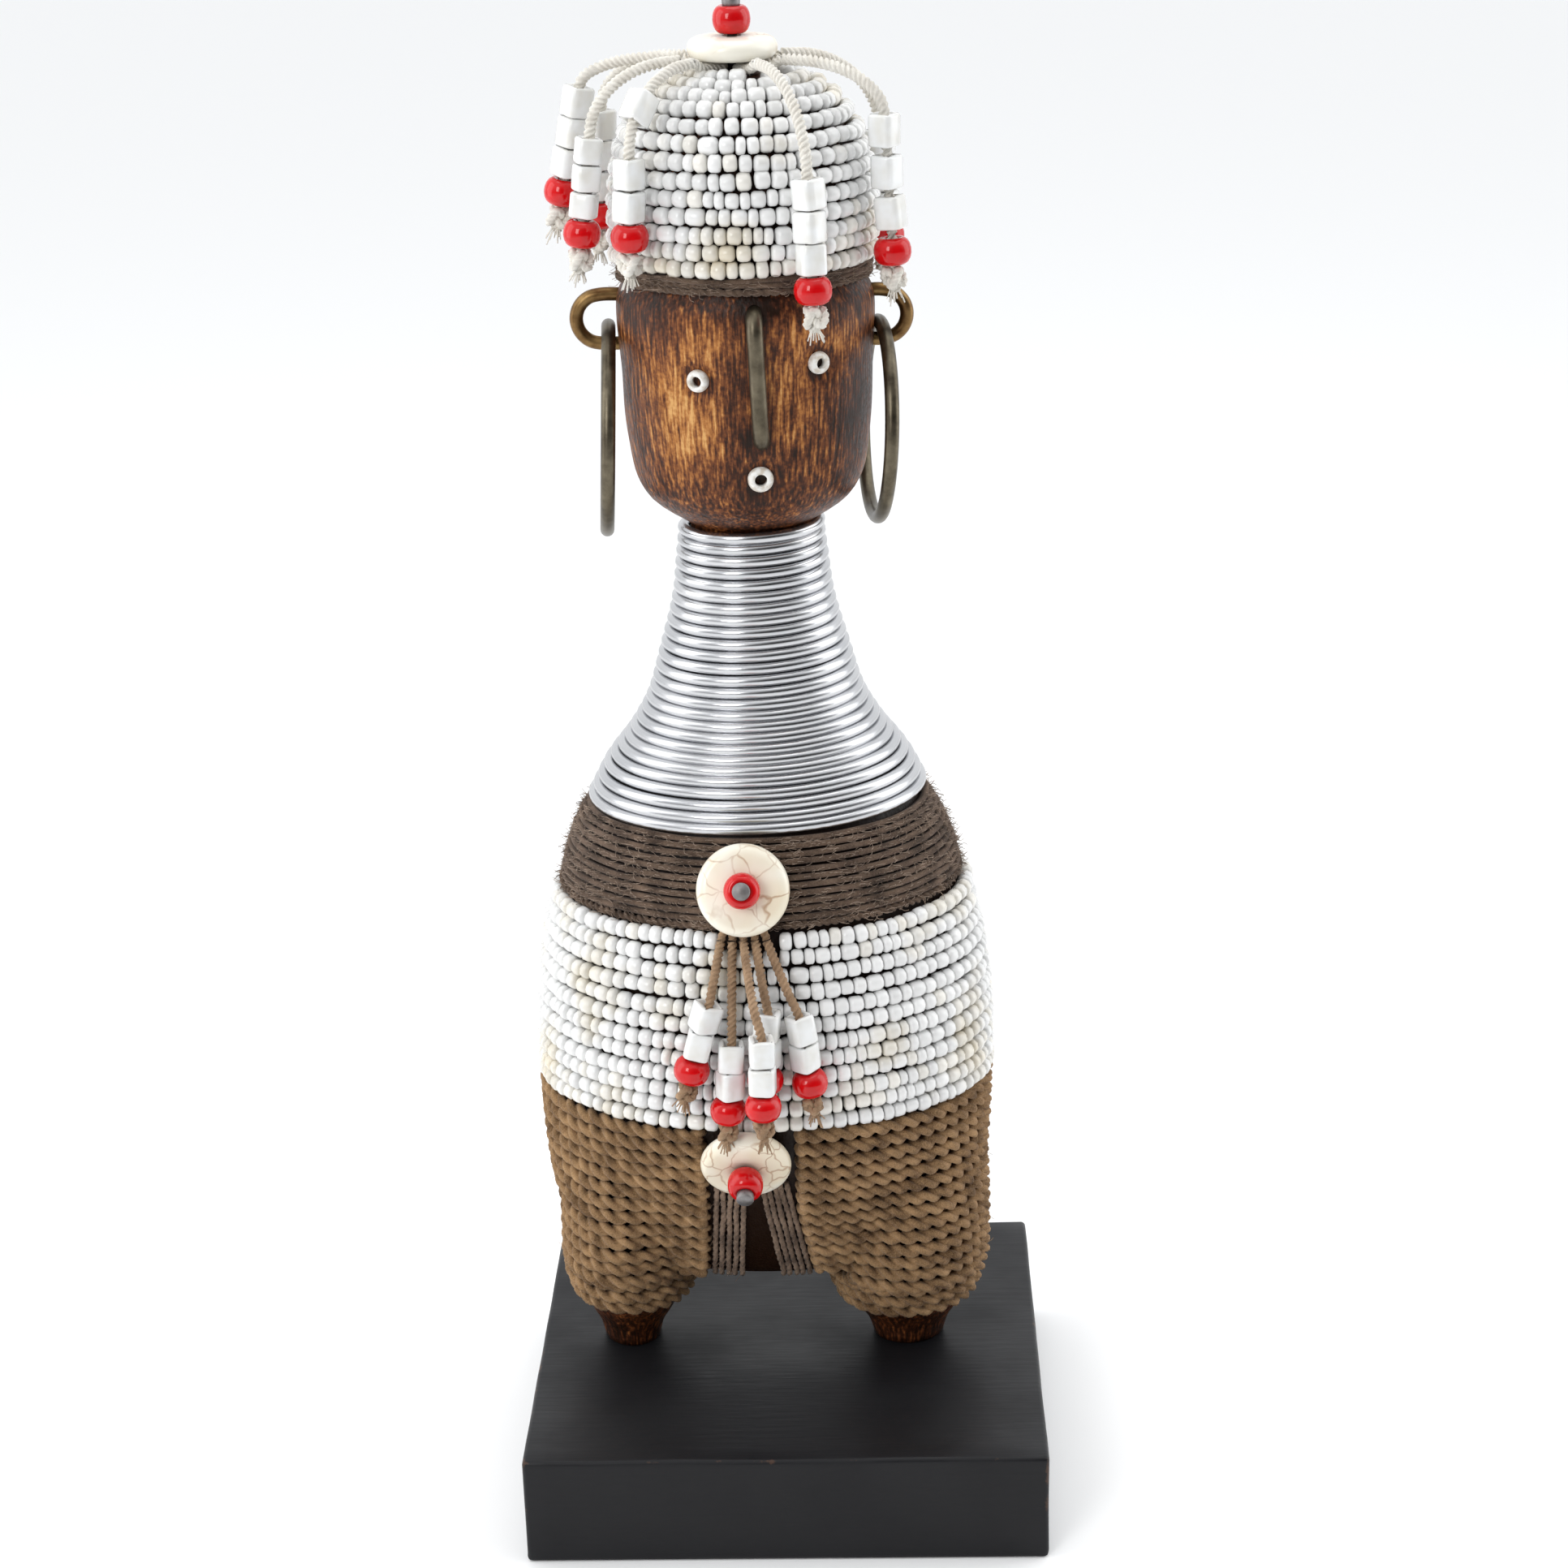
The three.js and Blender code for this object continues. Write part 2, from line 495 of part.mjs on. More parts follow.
BELLY_TASSELS.forEach(({ from, x, top, low, out, count, bulge = 0.8 }, index) => {
  const start = vec(FRONT + from, BELLY.depth, BELLY.height);
  const hang = vec(x, -out, top);
  const route = [start];
  for (const share of [0.35, 0.7]) {
    const forward = vec(0, -bulge * Math.sin(share * Math.PI), 0);
    route.push(vec().lerpVectors(start, hang, share).add(forward));
  }
  route.push(hang);
  const form = { count, cord: BELLY.cord, knot: BELLY.knot, cotton: BROWN_COTTON, steps: 9 };
  tassel(`belly_tassel_${index + 1}`, route, vec(low / 16, 0, -1), form);
});
const wedge = [[30, 106.8], [30.7, 101.2], [32.9, 101.2], [32.9, 101.9], [31.1, 106.8]];
const crossed = prism(wedge, FRONT - 4.4, FRONT + 5).rotate([0, 0, -90]);
piece("chest_cord_crossing", crossed, BROWN_COTTON);

const assembly = new THREE.Group();
assembly.add(block, doll);
export default assembly;
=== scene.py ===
import bpy
import bmesh
import math
import random
from mathutils import Matrix, Vector, noise


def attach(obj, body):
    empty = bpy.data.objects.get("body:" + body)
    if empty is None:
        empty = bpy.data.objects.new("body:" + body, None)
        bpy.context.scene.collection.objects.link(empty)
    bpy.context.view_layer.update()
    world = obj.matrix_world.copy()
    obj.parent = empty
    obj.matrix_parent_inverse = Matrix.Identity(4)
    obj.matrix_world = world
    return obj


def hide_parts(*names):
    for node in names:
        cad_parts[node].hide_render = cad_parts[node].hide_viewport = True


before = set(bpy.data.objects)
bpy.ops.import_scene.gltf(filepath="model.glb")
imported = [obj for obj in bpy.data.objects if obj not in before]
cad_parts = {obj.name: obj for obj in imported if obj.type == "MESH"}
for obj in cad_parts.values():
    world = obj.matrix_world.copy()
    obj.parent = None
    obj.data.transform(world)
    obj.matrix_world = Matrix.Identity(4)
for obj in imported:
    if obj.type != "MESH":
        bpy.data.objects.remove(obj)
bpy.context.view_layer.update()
MM = 0.001

# ---- Camera, lights and floor ----
# The doll stands on a pale floor in a bright room. Two large soft lights stand at its sides, a little
# behind it, so the wire neck and the glass beads are brightest at their edges.
scene = bpy.context.scene
scene.view_settings.view_transform = "Standard"

yaw, pitch, roll = (math.radians(a) for a in (-1.69, 20.03, 1.43))
view = Matrix.Rotation(-yaw, 4, "Z") @ Matrix.Rotation(math.pi / 2 - pitch, 4, "X") @ Matrix.Rotation(-roll, 4, "Z")
camera = bpy.data.objects.new("camera", bpy.data.cameras.new("camera"))
camera.data.lens = 75.65
camera.data.sensor_width = 36
camera.matrix_world = Matrix.Translation((0.019, -0.590, 0.356)) @ view
scene.collection.objects.link(camera)
scene.camera = camera


def soft_light(name, place, aim, width, height, watts):
    light = bpy.data.lights.new(name, "AREA")
    light.shape = "RECTANGLE"
    light.size, light.size_y, light.energy = width, height, watts
    lamp = bpy.data.objects.new(name, light)
    lamp.location = place
    lamp.rotation_euler = (Vector(aim) - Vector(place)).to_track_quat("-Z", "Y").to_euler()
    scene.collection.objects.link(lamp)


soft_light("left_softbox", (-0.7, -0.05, 0.42), (0, 0, 0.16), 0.5, 0.9, 2.2)
soft_light("right_softbox", (0.7, 0.1, 0.42), (0, 0, 0.16), 0.5, 0.9, 2.2)
soft_light("front_softbox", (-0.45, -0.85, 0.62), (0, 0, 0.15), 0.3, 0.5, 3.2)
soft_light("top_softbox", (0.05, 0.1, 0.95), (0, 0, 0.2), 0.5, 0.5, 1.4)

scene.world = bpy.data.worlds.new("bright_room")
scene.world.use_nodes = True
nodes, links = scene.world.node_tree.nodes, scene.world.node_tree.links
where = nodes.new("ShaderNodeTexCoord")


def toward(direction, dimmest, brightest, low, high):
    """The room's brightness, by how far a direction agrees with this one."""
    agree = nodes.new("ShaderNodeVectorMath")
    agree.operation = "DOT_PRODUCT"
    agree.inputs[1].default_value = direction
    links.new(where.outputs["Generated"], agree.inputs[0])
    level = nodes.new("ShaderNodeMapRange")
    level.interpolation_type = "SMOOTHSTEP"
    level.inputs["From Min"].default_value, level.inputs["From Max"].default_value = low, high
    level.inputs["To Min"].default_value, level.inputs["To Max"].default_value = dimmest, brightest
    links.new(agree.outputs["Value"], level.inputs["Value"])
    return level.outputs["Result"]


glow = nodes.new("ShaderNodeMath")
glow.operation = "MULTIPLY"
links.new(toward((0, 0.6, 0.8), 0.3, 1.12, -0.6, 0.3), glow.inputs[0])
links.new(toward((0.5, -0.86, 0.05), 1, 0.05, 0.5, 0.95), glow.inputs[1])
links.new(glow.outputs["Value"], nodes["Background"].inputs["Strength"])
nodes["Background"].inputs["Color"].default_value = (0.97, 0.985, 1, 1)


def made_of(name, color=(0.8, 0.8, 0.8), roughness=0.5, metallic=0.0, **more):
    """A material, its nodes, its links and its shader."""
    material = bpy.data.materials.new(name)
    material.use_nodes = True
    nodes, links = material.node_tree.nodes, material.node_tree.links
    shader = nodes["Principled BSDF"]
    shader.inputs["Base Color"].default_value = (*color, 1)
    shader.inputs["Roughness"].default_value = roughness
    shader.inputs["Metallic"].default_value = metallic
    for socket, value in more.items():
        shader.inputs[socket.replace("_", " ")].default_value = value
    return material, nodes, links, shader


def finished(name, bm, material, body, nodes):
    """Makes a piece of a bmesh: smooth, made of its material, riding its body, in place of CAD nodes."""
    mesh = bpy.data.meshes.new(name)
    bm.to_mesh(mesh)
    bm.free()
    return dressed(name, mesh, material, body, nodes)


def dressed(name, mesh, material, body, nodes):
    mesh.shade_smooth()
    mesh.materials.clear()
    mesh.materials.append(material)
    piece = bpy.data.objects.new(name, mesh)
    scene.collection.objects.link(piece)
    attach(piece, body)
    if nodes:
        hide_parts(*nodes)
    return piece


floor_mesh = bmesh.new()
bmesh.ops.create_grid(floor_mesh, x_segments=2, y_segments=2, size=3)
floor_data = bpy.data.meshes.new("floor")
floor_mesh.to_mesh(floor_data)
floor_mesh.free()
floor_data.materials.append(made_of("pale_floor", (0.93, 0.93, 0.93), 0.7)[0])
floor = bpy.data.objects.new("floor", floor_data)
scene.collection.objects.link(floor)

# ---- Crown and belly tassels ----
# Each tassel is a short twisted cotton cord, white on the crown and brown on the belly. It carries
# square-sided white tube beads and one red bead, and ends in a knot with a frayed tip.
STAND = Vector((-3.3, 2, 22)) * MM  # the doll's axis, on top of the block


def vec(x, y, z):
    """A point of the doll's own frame, given in millimetres."""
    return Vector((x, y, z)) * MM


def through(points, steps):
    """A smooth line through the points, with this many steps between two of them."""
    ends = [2 * points[0] - points[1], *points, 2 * points[-1] - points[-2]]
    line = []
    for before, here, there, after in zip(ends, ends[1:], ends[2:], ends[3:]):
        t0, t1, t2 = (max(1e-9, (b - a).length ** 0.5) for a, b in ((before, here), (here, there), (there, after)))
        leave = (there - here) + t1 * ((here - before) / t0 - (there - before) / (t0 + t1))
        arrive = (there - here) + t1 * ((after - there) / t2 - (after - here) / (t1 + t2))
        for step in range(steps):
            s = step / steps
            line.append(
                (2 * s**3 - 3 * s**2 + 1) * here + (s**3 - 2 * s**2 + s) * leave
                + (3 * s**2 - 2 * s**3) * there + (s**3 - s**2) * arrive
            )
    return [*line, points[-1].copy()]


def strand_section(radius, plies=1, hollow=0.0, sides=10):
    """The cross-section of a strand, in metres: round, or lobed where several plies are twisted."""
    curve = bpy.data.curves.new("section", "CURVE")
    spline = curve.splines.new("POLY")
    spline.points.add(sides - 1)
    for i, point in enumerate(spline.points):
        a = 2 * math.pi * i / sides
        reach = radius * (1 - hollow * (1 - abs(math.cos(plies * a / 2)))) if plies > 1 else radius
        point.co = (reach * math.cos(a), reach * math.sin(a), 0, 1)
    spline.use_cyclic_u = True
    section = bpy.data.objects.new("section", curve)
    scene.collection.objects.link(section)
    return section


def strands(lines, section, twist=0.0, closed=False, thickness=None):
    """A mesh of the section carried along each line. twist is in turns per metre."""
    curve = bpy.data.curves.new("strands", "CURVE")
    curve.dimensions = "3D"
    curve.twist_mode = "MINIMUM"
    curve.bevel_mode = "OBJECT"
    curve.bevel_object = section
    curve.use_fill_caps = True
    for line in lines:
        spline = curve.splines.new("POLY")
        spline.points.add(len(line) - 1)
        run, last = 0.0, line[0]
        for point, here in zip(spline.points, line):
            run += (here - last).length
            last = here
            point.co = (*here, 1)
            point.tilt = run * twist * 2 * math.pi
            point.radius = thickness(here) if thickness else 1
        spline.use_cyclic_u = closed
    holder = bpy.data.objects.new("strands", curve)
    scene.collection.objects.link(holder)
    bpy.context.view_layer.update()
    mesh = bpy.data.meshes.new_from_object(holder.evaluated_get(bpy.context.evaluated_depsgraph_get()))
    bpy.data.objects.remove(holder)
    bpy.data.objects.remove(section)
    bm = bmesh.new()
    bm.from_mesh(mesh)
    bmesh.ops.remove_doubles(bm, verts=bm.verts, dist=1e-7)
    bmesh.ops.recalc_face_normals(bm, faces=bm.faces)
    bm.to_mesh(mesh)
    bm.free()
    return mesh


def added(bm, part, place):
    """Puts a separately built part at its place in a piece's bmesh."""
    bmesh.ops.recalc_face_normals(part, faces=part.faces)
    bmesh.ops.transform(part, matrix=place, verts=part.verts)
    mesh = bpy.data.meshes.new("part")
    part.to_mesh(mesh)
    part.free()
    bm.from_mesh(mesh)
    bpy.data.meshes.remove(mesh)


def turned(bm, profile, sides, place=Matrix.Identity(4)):
    """Turns a closed profile of (radius, height) points, in millimetres, round the place's Z axis."""
    part = bmesh.new()
    rim = [part.verts.new(Vector((r, 0, z)) * MM) for r, z in profile]
    edges = [part.edges.new(pair) for pair in zip(rim, [*rim[1:], rim[0]])]
    bmesh.ops.spin(
        part, geom=rim + edges, cent=(0, 0, 0), axis=(0, 0, 1), angle=2 * math.pi, steps=sides, use_merge=True
    )
    bmesh.ops.remove_doubles(part, verts=part.verts, dist=1e-7)
    added(bm, part, place)


def aimed(point, direction):
    """The place of something at a point, with its Z axis along the direction."""
    return Matrix.Translation(point) @ direction.to_track_quat("Z", "Y").to_matrix().to_4x4()


def tube_bead(bm, radius, length, place):
    """A square-sided bead with softened corners, standing on the place's origin."""
    part = bmesh.new()
    bmesh.ops.create_cone(
        part, cap_ends=True, segments=24, radius1=radius, radius2=radius, depth=length,
        matrix=Matrix.Translation((0, 0, length / 2)),
    )
    for v in part.verts:
        a = math.atan2(v.co.y, v.co.x)
        squared = (abs(math.cos(a)) ** 5 + abs(math.sin(a)) ** 5) ** -0.2
        v.co.x *= squared
        v.co.y *= squared
    ends = [f for f in part.faces if len(f.verts) > 4]
    for end in ends:
        bmesh.ops.inset_region(part, faces=[end], thickness=radius * 0.42)
        bmesh.ops.inset_region(part, faces=[end], thickness=radius * 0.04, depth=-radius * 0.4)
    rims = [e for e in part.edges if abs(e.verts[0].co.z - e.verts[1].co.z) < 1e-7 and e.calc_face_angle() > 1.2]
    outer = [e for e in rims if e.verts[0].co.xy.length > radius * 0.8]
    bmesh.ops.bevel(
        part, geom=outer, offset=radius * 0.2, segments=3, affect="EDGES", profile=0.5, material=-1
    )
    added(bm, part, place)


def bead_profile(radius, height, hole, steps=9):
    """A round bead's section, from the hole out over the rim and back, standing on height 0."""
    outside = []
    for i in range(steps + 1):
        a = math.pi * (i / steps - 0.5)
        outside.append((hole + (radius - hole) * abs(math.cos(a)) ** 0.75, height / 2 * (1 + math.sin(a))))
    outside[0], outside[-1] = (hole, height * 0.04), (hole, height * 0.96)
    return outside


porcelain, nodes, links, shader = made_of(
    "white_porcelain", (0.78, 0.79, 0.78), 0.16, Coat_Weight=0.3, Coat_Roughness=0.06
)
stain = nodes.new("ShaderNodeTexNoise")
stain.inputs["Scale"].default_value = 260
grade = nodes.new("ShaderNodeValToRGB")
grade.color_ramp.elements[0].position, grade.color_ramp.elements[1].position = 0.3, 0.62
grade.color_ramp.elements[0].color = (0.7, 0.69, 0.65, 1)
grade.color_ramp.elements[1].color = (0.79, 0.8, 0.8, 1)
where = nodes.new("ShaderNodeTexCoord")
links.new(where.outputs["Object"], stain.inputs["Vector"])
links.new(stain.outputs["Fac"], grade.inputs["Fac"])
links.new(grade.outputs["Color"], shader.inputs["Base Color"])

red_glass, nodes, links, shader = made_of(
    "red_glass", (0.62, 0.006, 0.008), 0.06, Specular_IOR_Level=0.4
)
swirl = nodes.new("ShaderNodeTexNoise")
swirl.inputs["Scale"].default_value = 300
grade = nodes.new("ShaderNodeValToRGB")
grade.color_ramp.elements[0].color = (0.4, 0.002, 0.004, 1)
grade.color_ramp.elements[1].color = (0.68, 0.006, 0.008, 1)
where = nodes.new("ShaderNodeTexCoord")
links.new(where.outputs["Object"], swirl.inputs["Vector"])
links.new(swirl.outputs["Fac"], grade.inputs["Fac"])
links.new(grade.outputs["Color"], shader.inputs["Base Color"])


def spun_yarn(name, dark, light, fine, rough=0.95):
    """A spun fibre finish: colour that drifts along the yarn, and fine fibres that stand in its bump."""
    material, nodes, links, shader = made_of(name, light, rough, Specular_IOR_Level=0.2, Sheen_Weight=0.1, Sheen_Roughness=0.5)
    where = nodes.new("ShaderNodeTexCoord")
    drift = nodes.new("ShaderNodeTexNoise")
    drift.inputs["Scale"].default_value = 230
    drift.inputs["Detail"].default_value = 6
    fibres = nodes.new("ShaderNodeTexNoise")
    fibres.inputs["Scale"].default_value = fine
    fibres.inputs["Detail"].default_value = 8
    fibres.inputs["Roughness"].default_value = 0.7
    grade = nodes.new("ShaderNodeValToRGB")
    grade.color_ramp.elements[0].position, grade.color_ramp.elements[1].position = 0.34, 0.66
    grade.color_ramp.elements[0].color = (*dark, 1)
    grade.color_ramp.elements[1].color = (*light, 1)
    both = nodes.new("ShaderNodeMath")
    both.operation = "MULTIPLY_ADD"
    both.inputs[1].default_value = 0.5
    bump = nodes.new("ShaderNodeBump")
    bump.inputs["Strength"].default_value = 0.55
    bump.inputs["Distance"].default_value = 0.0004
    half = nodes.new("ShaderNodeMath")
    half.operation = "MULTIPLY"
    half.inputs[1].default_value = 0.5
    for texture in (drift, fibres):
        links.new(where.outputs["Object"], texture.inputs["Vector"])
    links.new(drift.outputs["Fac"], half.inputs[0])
    links.new(fibres.outputs["Fac"], both.inputs[0])
    links.new(half.outputs["Value"], both.inputs[2])
    links.new(both.outputs["Value"], grade.inputs["Fac"])
    links.new(grade.outputs["Color"], shader.inputs["Base Color"])
    links.new(fibres.outputs["Fac"], bump.inputs["Height"])
    links.new(bump.outputs["Normal"], shader.inputs["Normal"])
    return material


white_cotton = spun_yarn("white_cotton", (0.7, 0.65, 0.57), (0.92, 0.9, 0.84), 5200)
brown_cotton = spun_yarn("brown_cotton", (0.2, 0.12, 0.066), (0.55, 0.37, 0.23), 5200)

TUBE_LENGTH, TUBE_RADIUS = 5.6, 2.4
RED_RADIUS, RED_HEIGHT = 3.4, 5.3


def tassel(name, route, down, count, cord_radius, knot_size, cotton, pitch=TUBE_LENGTH, loose=None):
    """Hangs one tassel: its cord follows the route, and its beads hang straight on from the route's end."""
    chance = random.Random(name)
    top = route[-1]
    down = down.normalized()
    stack = (count * pitch + RED_HEIGHT) * MM
    knot_at = top + down * (stack + (0.3 + knot_size * 0.8) * MM)
    path = through([*route, top + down * stack / 2, knot_at, knot_at + down * 2.6 * MM], 16)
    path = [p + STAND for p in path]
    mesh = strands([path], strand_section(cord_radius * 1.04 * MM, 3, 0.34, 12), twist=330)
    cord = dressed(f"{name}_cotton", mesh, cotton, name, [f"{name}_cord"])

    beads = bmesh.new()
    spin = chance.uniform(0, 90)
    for i in range(count):
        lean = Matrix.Rotation(math.radians(chance.uniform(-4, 4)), 4, "X")
        turn = Matrix.Rotation(math.radians(spin + chance.uniform(-20, 20)), 4, "Z")
        length = (min(pitch, TUBE_LENGTH + 0.4) - 0.12 - chance.uniform(0, 0.2)) * MM
        place = aimed(top + STAND + down * pitch * i * MM, down) @ turn @ lean
        tube_bead(beads, (TUBE_RADIUS + chance.uniform(-0.08, 0.06)) * MM, length, place)
    if loose is not None:
        line = through(route, 24)
        at = line[round(loose * (len(line) - 1))]
        ahead = (line[round(loose * (len(line) - 1)) + 2] - at).normalized()
        tube_bead(beads, TUBE_RADIUS * MM, TUBE_LENGTH * MM, aimed(at + STAND - ahead * TUBE_LENGTH / 2 * MM, ahead))
    bmesh.ops.recalc_face_normals(beads, faces=beads.faces)
    own = [f"{name}_beads"] + ([f"{name}_loose_bead"] if loose is not None else [])
    tubes = finished(f"{name}_tube_beads", beads, porcelain, name, own)

    red = bmesh.new()
    place = aimed(top + STAND + down * count * pitch * MM, down)
    turned(red, bead_profile(RED_RADIUS, RED_HEIGHT - 0.25, cord_radius + 0.15), 28, place)
    red = finished(f"{name}_red", red, red_glass, name, [])

    loop = []
    size = knot_size * 0.3 * MM
    for i in range(72):
        t = 2 * math.pi * i / 72
        bend = Vector((math.sin(t) + 2 * math.sin(2 * t), math.cos(t) - 2 * math.cos(2 * t), -2.1 * math.sin(3 * t)))
        loop.append(aimed(knot_at + STAND, down) @ (bend * size))
    knot = strands([loop], strand_section(knot_size * 0.44 * MM, 3, 0.3, 10), twist=330, closed=True)
    knot = dressed(f"{name}_knot", knot, cotton, name, [])

    tips = []
    for i in range(16):
        out = Vector((chance.uniform(-1, 1), chance.uniform(-1, 1), chance.uniform(-0.4, 0.4))) * 0.7 * MM
        start = knot_at + down * 1.4 * MM + out * 0.3
        tips.append([p + STAND for p in through([start, start + out + down * 1.0 * MM, start + out * 2.1 + down * chance.uniform(2.0, 3.2) * MM], 4)])
    tips = strands(tips, strand_section(0.13 * MM, sides=4))
    fray = dressed(f"{name}_fray", tips, cotton, name, [])
    length = sum((b - a).length for a, b in zip(path, path[1:]))


# Where each crown tassel hangs: its bearing from the front, the height of its beads' top, how far out
# of plumb they lean, how many tube beads it has and how far apart, how far it stands off the cap, and
# where along it a loose bead sits.
CROWN_TASSELS = [
    (-44.7, 240.8, 2, 2, 5.6, 0, 0.62), (-72.4, 242.9, 7, 3, 4.8, 0, None), (-100, 250, 12, 3, 5.6, 1.5, None),
    (-116.7, 244.7, 4, 3, 5.6, 1.5, None), (27.6, 237.5, 4, 3, 5.6, 0, None), (68, 246.4, 3, 3, 7.2, 0, None),
    (115.2, 240.2, 3, 3, 5.6, 0, None), (170, 240, 2, 3, 5.6, 0, None),
]
for number, (bearing, top, lean, count, pitch, out, loose) in enumerate(CROWN_TASSELS, 1):
    a = math.radians(bearing)
    wide, deep = 27.94 + out, 25.71 + out
    reach = 1 / math.hypot(math.sin(a) / wide, math.cos(a) / deep)
    hang = vec(math.sin(a) * reach, -math.cos(a) * reach, top)
    start = vec(-1.1 + 9.6 * math.sin(a), -9.6 * math.cos(a), 255.2)
    route = [start]
    for share in (0.2, 0.4, 0.6, 0.8):
        across = math.sin(share * math.pi / 2)
        drop = (1 - math.cos(share * math.pi / 2)) * (255.2 - top)
        point = start.lerp(hang, across)
        point.z = (255.2 + 0.8 * (across - across**3) - drop) * MM
        route.append(point)
    outwards = Vector((hang.x, hang.y, 0)).normalized() * math.tan(math.radians(lean))
    down = outwards + Vector((0, 0, -1))
    name = f"crown_tassel_{number}"
    tassel(name, [*route, hang], down, count, 1.05, 2, white_cotton, pitch, loose)

# The same for the belly: where it leaves the chest disc, where its beads hang, and how far they stand off.
BELLY_TASSELS = [
    (-3.9, -8.8, 89, -4.4, 37.8, 0.8), (-1.8, -4.9, 81.2, -1.2, 37.9, 0.8), (0.3, 0.9, 85.6, 0, 45.8, 3.8),
    (4.6, 7.5, 86.4, 2.2, 37.6, 0.8), (2.5, 1.9, 87.8, -0.8, 38.9, 0.8),
]
for number, (leave, x, top, low, out, bulge) in enumerate(BELLY_TASSELS, 1):
    start = vec(-2.7 + leave, -32.2, 99)
    hang = vec(x, -out, top)
    route = [start]
    for share in (0.35, 0.7):
        route.append(start.lerp(hang, share) + vec(0, -bulge * math.sin(share * math.pi), 0))
    tassel(
        f"belly_tassel_{number}", [*route, hang], Vector((low / 16, 0, -1)), 2, 0.9, 1.7, brown_cotton,
    )

# ---- Display block ----
# A square block of wood under thin black paint. Handling has rubbed the paint through to brown along the
# edges and chipped it in a few places. The heads of the two foot nails are sunk in its underside.
black_paint, nodes, links, shader = made_of("black_paint", (0.012, 0.012, 0.013), 0.42, Specular_IOR_Level=0.22)
where = nodes.new("ShaderNodeTexCoord")
parts = nodes.new("ShaderNodeSeparateXYZ")
links.new(where.outputs["Object"], parts.inputs["Vector"])


def arithmetic(nodes, links, operation, first, second=None):
    """A Math node on sockets or numbers. Gives back its output."""
    node = nodes.new("ShaderNodeMath")
    node.operation = operation
    for socket, value in zip(node.inputs, (first, second)):
        if value is None:
            continue
        if isinstance(value, (int, float)):
            socket.default_value = value
        else:
            links.new(value, socket)
    return node.outputs["Value"]


side = arithmetic(nodes, links, "SUBTRACT", 0.05, arithmetic(nodes, links, "ABSOLUTE", parts.outputs["X"]))
face = arithmetic(nodes, links, "SUBTRACT", 0.048, arithmetic(nodes, links, "ABSOLUTE", parts.outputs["Y"]))
lid = arithmetic(nodes, links, "SUBTRACT", 0.022, parts.outputs["Z"])
least = arithmetic(nodes, links, "MINIMUM", side, face)
most = arithmetic(nodes, links, "MAXIMUM", side, face)
edge = arithmetic(nodes, links, "MAXIMUM", least, arithmetic(nodes, links, "MINIMUM", most, lid))
patch = nodes.new("ShaderNodeTexNoise")
patch.inputs["Scale"].default_value = 90
patch.inputs["Detail"].default_value = 8
patch.inputs["Roughness"].default_value = 0.7
links.new(where.outputs["Object"], patch.inputs["Vector"])
worn = nodes.new("ShaderNodeMapRange")
links.new(arithmetic(nodes, links, "MULTIPLY", edge, 420), worn.inputs["Value"])
worn.inputs["From Min"].default_value, worn.inputs["From Max"].default_value = 0.0, 1.0
worn.inputs["To Min"].default_value, worn.inputs["To Max"].default_value = 0.20, -0.16
rubbed = arithmetic(nodes, links, "ADD", patch.outputs["Fac"], worn.outputs["Result"])
chips = nodes.new("ShaderNodeValToRGB")
chips.color_ramp.elements[0].position, chips.color_ramp.elements[1].position = 0.72, 0.78
links.new(rubbed, chips.inputs["Fac"])
tone = nodes.new("ShaderNodeMix")
tone.data_type = "RGBA"
tone.inputs[6].default_value = (0.009, 0.009, 0.0105, 1)
tone.inputs[7].default_value = (0.055, 0.03, 0.02, 1)
links.new(chips.outputs["Color"], tone.inputs[0])
links.new(tone.outputs[2], shader.inputs["Base Color"])
scuffs = nodes.new("ShaderNodeTexNoise")
scuffs.inputs["Scale"].default_value = 55
scuffs.inputs["Detail"].default_value = 10
links.new(where.outputs["Object"], scuffs.inputs["Vector"])
dullness = nodes.new("ShaderNodeMapRange")
dullness.inputs["From Min"].default_value, dullness.inputs["From Max"].default_value = 0.35, 0.65
dullness.inputs["To Min"].default_value, dullness.inputs["To Max"].default_value = 0.34, 0.52
links.new(scuffs.outputs["Fac"], dullness.inputs["Value"])
links.new(dullness.outputs["Result"], shader.inputs["Roughness"])
grain = nodes.new("ShaderNodeTexNoise")
grain.inputs["Scale"].default_value = 900
stretch = nodes.new("ShaderNodeMapping")
stretch.inputs["Scale"].default_value = (0.12, 1, 1)
links.new(where.outputs["Object"], stretch.inputs["Vector"])
links.new(stretch.outputs["Vector"], grain.inputs["Vector"])
bump = nodes.new("ShaderNodeBump")
bump.inputs["Strength"].default_value = 0.22
bump.inputs["Distance"].default_value = 0.0002
links.new(grain.outputs["Fac"], bump.inputs["Height"])
links.new(bump.outputs["Normal"], shader.inputs["Normal"])

block = bmesh.new()
bmesh.ops.create_cube(block, size=1, matrix=Matrix.LocRotScale((0, 0, 0.011), None, (0.1, 0.096, 0.022)))
bmesh.ops.bevel(
    block, geom=list(block.edges), offset=0.0009, segments=3, affect="EDGES", profile=0.5, material=-1
)
long_edges = [e for e in block.edges if e.calc_length() > 0.015]
bmesh.ops.subdivide_edges(block, edges=long_edges, cuts=24, use_grid_fill=True)
for v in block.verts:
    if v.co.z > 0.001:
        v.co += noise.noise_vector(v.co * 60) * 0.00016
block = finished("painted_block", block, black_paint, "doll", ["display_block"])

